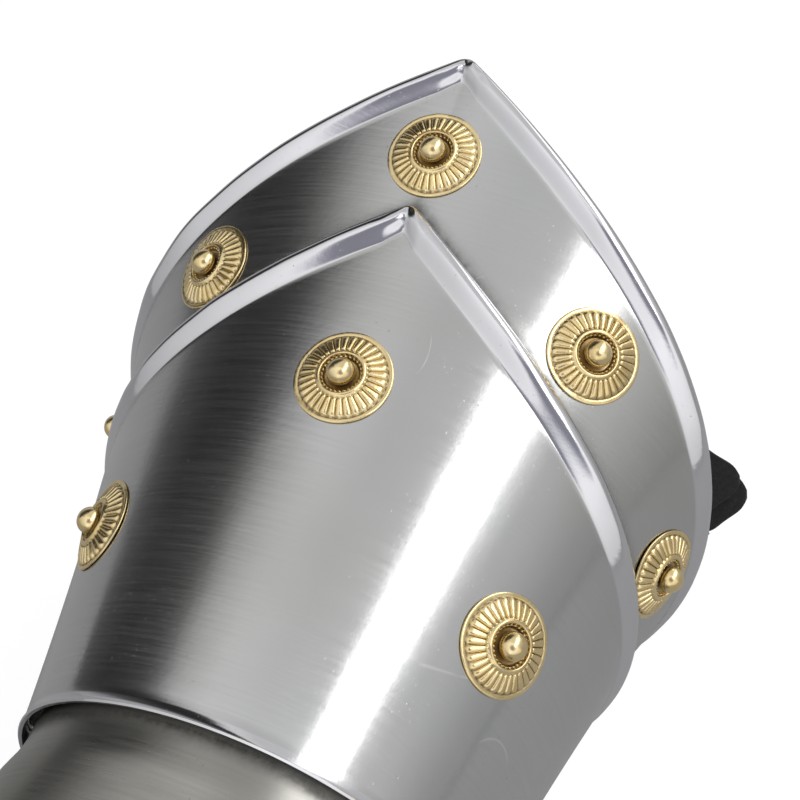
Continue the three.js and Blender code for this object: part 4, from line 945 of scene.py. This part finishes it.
def strapSheet(stations, thickness, rows, openings=()):  # a flat band of leather, bent along its path
    places = spreadPath(stations, strapForm["step"])
    columns = len(places) - 1
    shape = bmesh.new()
    bmesh.ops.create_grid(shape, x_segments=columns, y_segments=rows, size=0.5)
    for vert in shape.verts:
        point, side, up, width, reach = places[round((vert.co.x + 0.5) * columns)]
        vert.co = (reach, vert.co.y * width, thickness / 2)
    for centre, halfLength, halfWidth in openings:
        middles = {face: face.calc_center_median() for face in shape.faces}
        inside = [face for face, at in middles.items() if abs(at.x - centre) < halfLength and abs(at.y) < halfWidth]
        bmesh.ops.delete(shape, geom=inside, context="FACES")
    under = bmesh.ops.extrude_face_region(shape, geom=shape.faces[:], use_keep_orig=True)["geom"]
    verts = [item for item in under if isinstance(item, bmesh.types.BMVert)]
    bmesh.ops.translate(shape, verts=verts, vec=(0, 0, -thickness))
    for vert in shape.verts:
        point, side, up, width, reach = min(places, key=lambda place: abs(place[4] - vert.co.x))
        vert.co = point + side * vert.co.y + up * vert.co.z
    bmesh.ops.recalc_face_normals(shape, faces=shape.faces)
    return shape


def leatherPiece(node, stations, thickness, body, place=None, openings=(), ending=None):
    shape = strapSheet(stations, thickness, strapForm["rows"], openings)
    piece = finishPiece(node, shape, "strap", body, place, ending)
    soft = piece.modifiers.new("rounded edges", "SUBSURF")
    soft.levels = soft.render_levels = 1


def stripHeight(radius, width):
    arch = sqrt((radius - sheet["finger"]) ** 2 - (width / 2) ** 2)
    return arch - 2 * sheet["restGap"] - stripForm["thickness"] / 2


def stripChain(frames, one):  # the strip's stations inside each plate: behind, at and past its hinge
    width = stripForm["widthShare"] * one["radius"]
    chain = []
    for k, place in enumerate(frames):
        own = one["radius"] - fingerForm["taper"] * k
        high = stripHeight(own - fingerForm["taper"] if k == 2 else own, width)
        low = stripForm["dipShare"] * own
        spots = [(-own, low), (0, (low + high) / 2), (one["lengths"][k] / 2, high)]
        side = place.to_3x3() @ Vector((0, 1, 0))
        chain.append([(place @ Vector((x, 0, height)), side, width) for x, height in spots])
    return chain


def knuckleFace(across, x):  # height and side slope of the knuckle plate over a place across it
    form = handPlateForm(3)
    share = bodyShare(form, x)
    bulge = lerp(form["rear"]["bulge"], form["front"]["bulge"], share)
    halfWidth = lerp(form["rear"]["halfWidth"], form["front"]["halfWidth"], share)
    height = lerp(form["rear"]["height"], form["front"]["height"], share)
    part = abs(across) / halfWidth
    lift = (1 - part**bulge) ** (1 / bulge)
    slope = (height / halfWidth) * part ** (bulge - 1) / lift ** (bulge - 1)
    return height * lift - form["sink"] * share, copysign(atan(slope), across)


def fingerAnchor(one):
    stations, width = [], stripForm["widthShare"] * one["radius"]
    depth = sheet["plate"] + 2 * sheet["restGap"] + stripForm["thickness"] / 2
    for share in stripForm["anchorShares"]:
        x = handPlates[3]["length"] - fingerForm["rootBack"] - stripForm["anchorBack"] * share
        height, lean = knuckleFace(one["across"], max(x, 0))
        lift = tan(abs(lean)) * width / 2 * cos(lean)
        side = handFrame(3).to_3x3() @ Vector((0, cos(lean / 2), -sin(lean / 2)))
        stations.append((handFrame(3) @ Vector((x, one["across"], height - depth - lift)), side, width))
    return stations


def addLeatherStrip(name, one, anchor):  # three lengths, each blended over one joint
    frames = fingerFrames[name]
    chain = stripChain(frames, one)
    lengths = [anchor + chain[0], [chain[0][2]] + chain[1], [chain[1][2]] + chain[2]]
    for k, stations in enumerate(lengths):
        shape = strapSheet(stations, stripForm["thickness"], stripForm["rows"])
        softenEdges(shape, stripForm["edge"], edgeBevel["sharper"])
        piece = finishPiece(f"{name}_leather_strip", shape, "strip", None, ending=k + 1)
        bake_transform(piece)


for name, one in fingers.items():
    addLeatherStrip(name, one, fingerAnchor(one))
thumbAnchor = {"along": 23.4, "top": 3, "foot": -9, "lean": 2.4}
wallAt = handPlates[0]["halfWidth"] - sheet["plate"] + sheet["nestGap"] / 4
thumbStart = []
for height, lean in ((thumbAnchor["top"], 0), (thumbAnchor["foot"], thumbAnchor["lean"])):
    place = handFrame(0) @ Vector((thumbAnchor["along"], wallAt - lean, height))
    thumbStart.append((place, handFrame(0).to_3x3() @ axisX, stripForm["widthShare"] * thumbForm["radius"]))
addLeatherStrip("thumb", thumbForm, thumbStart)
print("stage: finger strips made")

palmStrap = {"along": 11, "width": 14, "thickness": 2.2, "top": 5, "depth": 27, "sideGap": 2.2}


def palmStations():
    reach = handPlates[0]["halfWidth"] - sheet["plate"] - palmStrap["sideGap"]
    spots = [(-reach, palmStrap["top"])]
    for k in range(17):
        turn = pi * (k / 16 - 0.5)
        spots.append((reach * sin(turn), -palmStrap["depth"] * cos(turn)))
    spots.append((reach, palmStrap["top"]))
    return [((palmStrap["along"], y, z), (1, 0, 0), palmStrap["width"]) for y, z in spots]


leatherPiece("palm_strap", palmStations(), palmStrap["thickness"], "hand", handFrame(0))


def wallStations(sign, steps, width):  # against the inside of the rear cuff plate
    depth = sheet["plate"] + 3 * sheet["restGap"] + closure["thickness"] / 2
    stations = []
    for step in steps:
        turn = sign * (closure["angle"] + step * closure["wallTurn"])
        at = cuffPoint(turn, closure["along"], -depth, rearPlate)
        ahead = cuffPoint(turn, closure["along"] - width / 2, -depth, rearPlate)
        stations.append((at, ahead - at, width))
    return stations


strapWay = [  # from the buckle's bar round behind the rear rim, to where the pointed end begins
    ((-69, 15, -32.9), (1, 0, 0), 20),
    ((-72, 24, -31), (1, 0.1, 0), 20),
    ((-80, 36, -28.5), (0.9, 0.35, -0.1), 20),
    ((-94, 46, -23), (0.8, 0.5, -0.3), 20),
    ((-108, 55, -14), (0.72, 0.4, -0.5), 18.6),
]
strapEnd = {"root": Vector((-117.8, 64.2, -6.6)), "tip": Vector((-120.57, 74.63, -5.52)), "side": (0.72, 0.25, -0.64)}
strapPoint = [  # share of the way to the tip, and width
    *((0, 18.6), (0.25, 17.0), (0.5, 12.8), (0.72, 9.6), (0.86, 7.2), (0.95, 4.6), (1, 1.8)),
]
lining = {"root": Vector((-118.3, 62.3, -2.6)), "tip": Vector((-121.3, 72.4, -1.8)), "side": (0.72, 0.25, -0.64)}
liningSheet = {"start": ((-109, 54, -10), (0.72, 0.4, -0.5), 17), "widthShare": 0.92, "thickness": 1.1}


def pointedEnd(end, scale=1.0):
    return [(end["root"].lerp(end["tip"], share), end["side"], width * scale) for share, width in strapPoint]


def closureStations():
    width, under = closure["width"], buckleLevel - closure["sag"]
    stations = wallStations(-1, [-1, 0, 1], width)
    for across, level in ((-40, -26.5), (-24, closure["level"]), (-0.6, closure["level"]), (closure["sagAt"], under)):
        stations.append(((-closure["along"], across, level), axisX, width))
    return stations + strapWay + pointedEnd(strapEnd)


def slotPlace(stations):  # distance along the strap to the middle of the slot for the prong
    middle = buckle["across"] - (closure["slotStart"] + closure["slotEnd"]) / 2
    places = spreadPath(stations, strapForm["step"])
    return min(places, key=lambda place: abs(place[0].y - middle) + 10 * abs(place[0].x + closure["along"]))[4]


stations = closureStations()
slot = (slotPlace(stations), *closure["slotHalf"])
leatherPiece("closure_strap", stations, closure["thickness"], "cuff", openings=[slot])
stations = [liningSheet["start"], *pointedEnd(lining, liningSheet["widthShare"])]
leatherPiece("closure_strap", stations, liningSheet["thickness"], "cuff", ending="lining")


def chapeStations():  # from the thumb side wall to the bar, round it and back along itself
    width, bar = chape["width"], Vector((-closure["along"], buckle["across"], buckleLevel))
    around = [Vector((bar.x, *chape["fromWall"]))]
    around += [bar + Vector((0, *offset)) for offset in chape["before"]]
    radius = buckle["barRadius"] + chape["wrapGap"] + closure["thickness"] / 2
    for k in range(7):
        turn = radians(chape["wrapFrom"] + chape["wrapTurn"] * k / 6)
        around.append(bar + Vector((0, radius * cos(turn), radius * sin(turn))))
    around += [bar + Vector((0, *offset)) for offset in chape["after"]]
    return wallStations(1, [-1, 0, 1], width) + [(place, -axisX, width) for place in around]


stations = chapeStations()
notchAt = min(spreadPath(stations, 0.5), key=lambda place: place[0].y)[4]
notch = (notchAt, *chape["notchHalf"])
leatherPiece("buckle_chape", stations, closure["thickness"] * chape["thicknessShare"], "cuff", openings=[notch])
print("stage: straps made")


def wireRing(width, thickness):  # a rounded section of across and up
    ring = []
    for k in range(16):
        turn = 2 * pi * k / 16
        across = copysign(abs(cos(turn)) ** wireRoundness, cos(turn)) * width / 2
        up = copysign(abs(sin(turn)) ** wireRoundness, sin(turn)) * thickness / 2
        ring.append((across, up))
    return ring


def wireShape(path, width, thickness, up):
    rings = []
    for k, point in enumerate(path):
        ahead = (path[min(k + 1, len(path) - 1)] - path[max(k - 1, 0)]).normalized()
        across = ahead.cross(up).normalized()
        over = across.cross(ahead)
        rings.append([point + across * a + over * b for a, b in wireRing(width, thickness)])
    return loft(rings)


def buckleFrameShape():
    half, wire, corner = (buckle["width"] - buckle["wire"]) / 2, buckle["wire"], buckle["corner"]
    near = buckle["across"] + buckle["barRadius"] - 0.4
    far = near - buckle["length"] + wire / 2 + 0.4
    bar = Vector((-closure["along"], 0, buckleLevel))
    path = [Vector((-half, near, 0))]
    for turnStart, middle in ((pi, corner - half), (1.5 * pi, half - corner)):
        for k in range(9):
            turn = turnStart + pi / 2 * k / 8
            path.append(Vector((middle + corner * cos(turn), far + corner + corner * sin(turn), 0)))
    path.append(Vector((half, near, 0)))
    path = [point + bar for point in path]
    dense = [path[0].lerp(path[1], k / 6) for k in range(6)] + path[1:-1]
    dense += [path[-2].lerp(path[-1], k / 6) for k in range(1, 7)]
    shape = wireShape(dense, wire, buckle["thickness"], Vector((0, 0, 1)))
    bmesh.ops.create_cone(
        shape,
        cap_ends=True,
        segments=24,
        radius1=buckle["barRadius"],
        radius2=buckle["barRadius"],
        depth=buckle["width"] - wire,
        matrix=Matrix.Translation((bar.x, buckle["across"], buckleLevel)) @ Matrix.Rotation(pi / 2, 4, "Y"),
    )
    return shape


finishPiece("buckle_frame", buckleFrameShape(), "buckle", "cuff")


def prongShape():
    size, bar = prong, Vector((-closure["along"], buckle["across"], buckleLevel))
    level = -buckle["thickness"] / 2 - sheet["restGap"] - size["thickness"] / 2
    path = []
    for k in range(20):
        turn = radians(size["loopFrom"] - size["loopTurn"] * k / 19)
        y, z = size["loop"] * cos(turn), size["loop"] * sin(turn)
        path.append((y, z, size["width"], size["loopThickness"]))
    for k in range(1, 13):
        share = k / 12
        width = lerp(size["width"], size["tipWidth"], share)
        thickness = lerp(size["thickness"] * size["rootShare"], size["tipThickness"], share)
        y = lerp(size["start"], size["overhang"] - buckle["length"], share)
        path.append((y, level + size["raise"] - size["bow"] * sin(pi * share), width, thickness))
    rings = []
    for k, (y, z, width, thickness) in enumerate(path):
        before, after = path[max(k - 1, 0)], path[min(k + 1, len(path) - 1)]
        ahead = Vector((0, after[0] - before[0], after[1] - before[1])).normalized()
        over = axisX.cross(ahead)
        rings.append([bar + Vector((a, y, z)) + over * b for a, b in wireRing(width, thickness)])
    return loft(rings)


finishPiece("buckle_prong", prongShape(), "buckle", "prong")

for side, label in ((-1, "little"), (1, "thumb")):
    grip = sheet["plate"] + closure["thickness"] + 6 * sheet["restGap"]
    place = cuffFrame(side * closure["angle"], closure["along"], rearPlate)
    shape = lowRivetShape(strapRivet, grip, sheet["restGap"])
    finishPiece(f"strap_rivet_{label}_side", shape, "rivet", "cuff", place)
print("stage: buckle made")

# Studio

studio = {
    "target": Vector((-91.69, 1.008, 32.66)), "camera": Vector((98.5, 94.8, 268.36)),
    "right": Vector((-0.370, 0.926, -0.070)), "focalPixels": 1452.02, "picturePixels": 800, "sensor": 36,
    "floorSize": 6.0, "floorDrop": 0.0003, "floorColour": (0.42, 0.42, 0.42, 1),
    "floorSeen": (0.95, 0.95, 0.95, 1), "floorWhite": 0.85, "floorLevel": 1.07, "worldStrength": 2.0,
    "flagUpright": 0.02, "flagSlant": 0.19, "flagSide": (-0.5, 0.2, 1, 0), "aheadRange": (-0.02, 0.22),
    "glowReach": (-0.06, 0.1, 0.95, 0.3), "standRange": (0.90, 0.975), "cameraShade": 0.27,
    "cameraTint": (0.88, 0.87, 1.0),
}
softBox = {"turn": 35, "distance": 1.1, "width": 0.35, "length": 1.6, "power": 4.0, "forward": Vector((300, 0, 0))}
# Turn about the forearm in degrees from straight up, thumb side positive, and brightness
worldBehind = [
    *((-180, 0.36), (-130, 0.26), (-112, 0.20), (-100, 0.05), (-78, 0.014), (-54, 0.018), (-47, 0.08), (-40, 0.34)),
    *((-24, 0.46), (0, 0.37), (18, 0.38), (60, 0.34), (82, 0.23), (100, 0.20), (116, 0.28), (180, 0.36)),
]
worldAhead = [
    *((-180, 0.3), (-110, 0.2), (-85, 0.3), (-60, 0.42), (-35, 0.5), (-12, 0.6), (25, 0.7), (60, 0.62), (95, 0.4)),
]
worldGlow = [
    *((-180, 0), (12, 0), (20, 0.25), (27, 0.85), (32, 1.0), (40, 1.0), (47, 0.58), (56, 0.3), (68, 0.1), (78, 0)),
]


def addCamera():
    target, place = toFrame @ studio["target"], toFrame @ studio["camera"]
    back = (place - target).normalized()
    right = (studio["right"] - back * studio["right"].dot(back)).normalized()
    data = bpy.data.cameras.new("studio camera")
    data.sensor_width = studio["sensor"]
    data.lens = studio["focalPixels"] / studio["picturePixels"] * studio["sensor"]
    data.clip_start = 0.01
    camera = addObject("studio camera", data)
    camera.matrix_world = axesFrame(place, right, back.cross(right), back)
    bpy.context.scene.camera = camera


def mixCamera(tree, plain, seen):  # one shader for the light, another for what the camera sees
    path = addNode(tree, "LightPath")
    inputs = {0: path.outputs["Is Camera Ray"], 1: plain.outputs[0], 2: seen.outputs[0]}
    return addNode(tree, "MixShader", inputs).outputs[0]


def addFloor():  # white to the camera, with a soft shadow under the object
    values = {"Roughness": 0.9, "Base Color": studio["floorColour"], "Specular IOR Level": 0.1}
    material, tree, shader = startMaterial("pale floor", values)
    white = addNode(tree, "Emission", {"Strength": studio["floorLevel"]})
    matte = addNode(tree, "BsdfDiffuse", {"Color": studio["floorSeen"]})
    seen = addNode(tree, "MixShader", {0: studio["floorWhite"], 1: matte.outputs[0], 2: white.outputs[0]})
    setInputs(tree.nodes["Material Output"], {0: mixCamera(tree, shader, seen)})
    shape = bmesh.new()
    bmesh.ops.create_grid(shape, x_segments=1, y_segments=1, size=studio["floorSize"] / 2)
    bmesh.ops.translate(shape, verts=shape.verts, vec=(0, 0, -studio["floorDrop"]))
    addMesh("floor", shape, material)


def turnRamp(share, stops):
    ramp = addNode(share.id_data, "ValToRGB", {0: share})
    marks = ramp.color_ramp.elements
    while len(marks) < len(stops):
        marks.new(0.5)
    for mark, (degrees, level) in zip(marks, stops):
        mark.position = (degrees + 180) / 360
        mark.color = (level, level, level, 1)
    return ramp.outputs[0]


def addWorld():
    world = bpy.data.worlds.new("studio")
    bpy.context.scene.world = world
    world.use_nodes = True
    tree = world.node_tree
    direction = addNode(tree, "TexCoord").outputs["Generated"]
    x, y, z = addNode(tree, "SeparateXYZ", {0: direction}).outputs
    turn = mathNode("ARCTAN2", y, z)
    share = mapRange(turn, -pi, pi)
    left = mapRange(turn, *studio["flagSide"], kind="SMOOTHSTEP")  # the dark flag leans over toward the elbow
    away = mathNode("ABSOLUTE", plus(x, studio["flagUpright"]))
    lean = times(left, times(away, studio["flagSlant"]))
    slanted = mathNode("SUBTRACT", share, lean)
    ahead = mapRange(x, *studio["aheadRange"], kind="SMOOTHSTEP")
    plain = mixColour(ahead, turnRamp(slanted, worldBehind), turnRamp(share, worldAhead))
    reach = mapRange(x, *studio["glowReach"], kind="SMOOTHSTEP")
    level = mathNode("MAXIMUM", plain, times(turnRamp(share, worldGlow), reach))
    toCamera = (studio["camera"] - studio["target"]).normalized()
    aside = addNode(tree, "VectorMath", {0: direction, 1: toCamera}, operation="DOT_PRODUCT")
    # the dark stand behind the camera
    stand = mapRange(aside.outputs["Value"], *studio["standRange"], kind="SMOOTHSTEP")
    level = times(level, mapRange(stand, 0, 1, 1, studio["cameraShade"]))
    tint = mixColour(stand, (1, 1, 1), studio["cameraTint"])
    colour = addNode(tree, "VectorMath", {0: tint, "Scale": level}, operation="SCALE").outputs[0]
    back = tree.nodes["Background"]
    setInputs(back, {"Strength": studio["worldStrength"], "Color": colour})
    white = addNode(tree, "Background", {"Strength": 1.0, "Color": (1, 1, 1, 1)})
    setInputs(tree.nodes["World Output"], {0: mixCamera(tree, back, white)})


def addSoftBox():  # a long lamp parallel to the forearm
    data = bpy.data.lights.new("long soft box", "AREA")
    data.shape = "RECTANGLE"
    data.size, data.size_y = softBox["length"], softBox["width"]
    data.energy = softBox["power"]
    turn = radians(softBox["turn"])
    out = Vector((0, sin(turn), cos(turn)))
    aim = toFrame @ (studio["target"] - softBox["forward"])
    addObject("long soft box", data).matrix_world = frameAt(aim + out * softBox["distance"], out, axisX)


addCamera()
addFloor()
addWorld()
addSoftBox()
bpy.context.scene.view_settings.view_transform = "Standard"
print("stage: studio made")
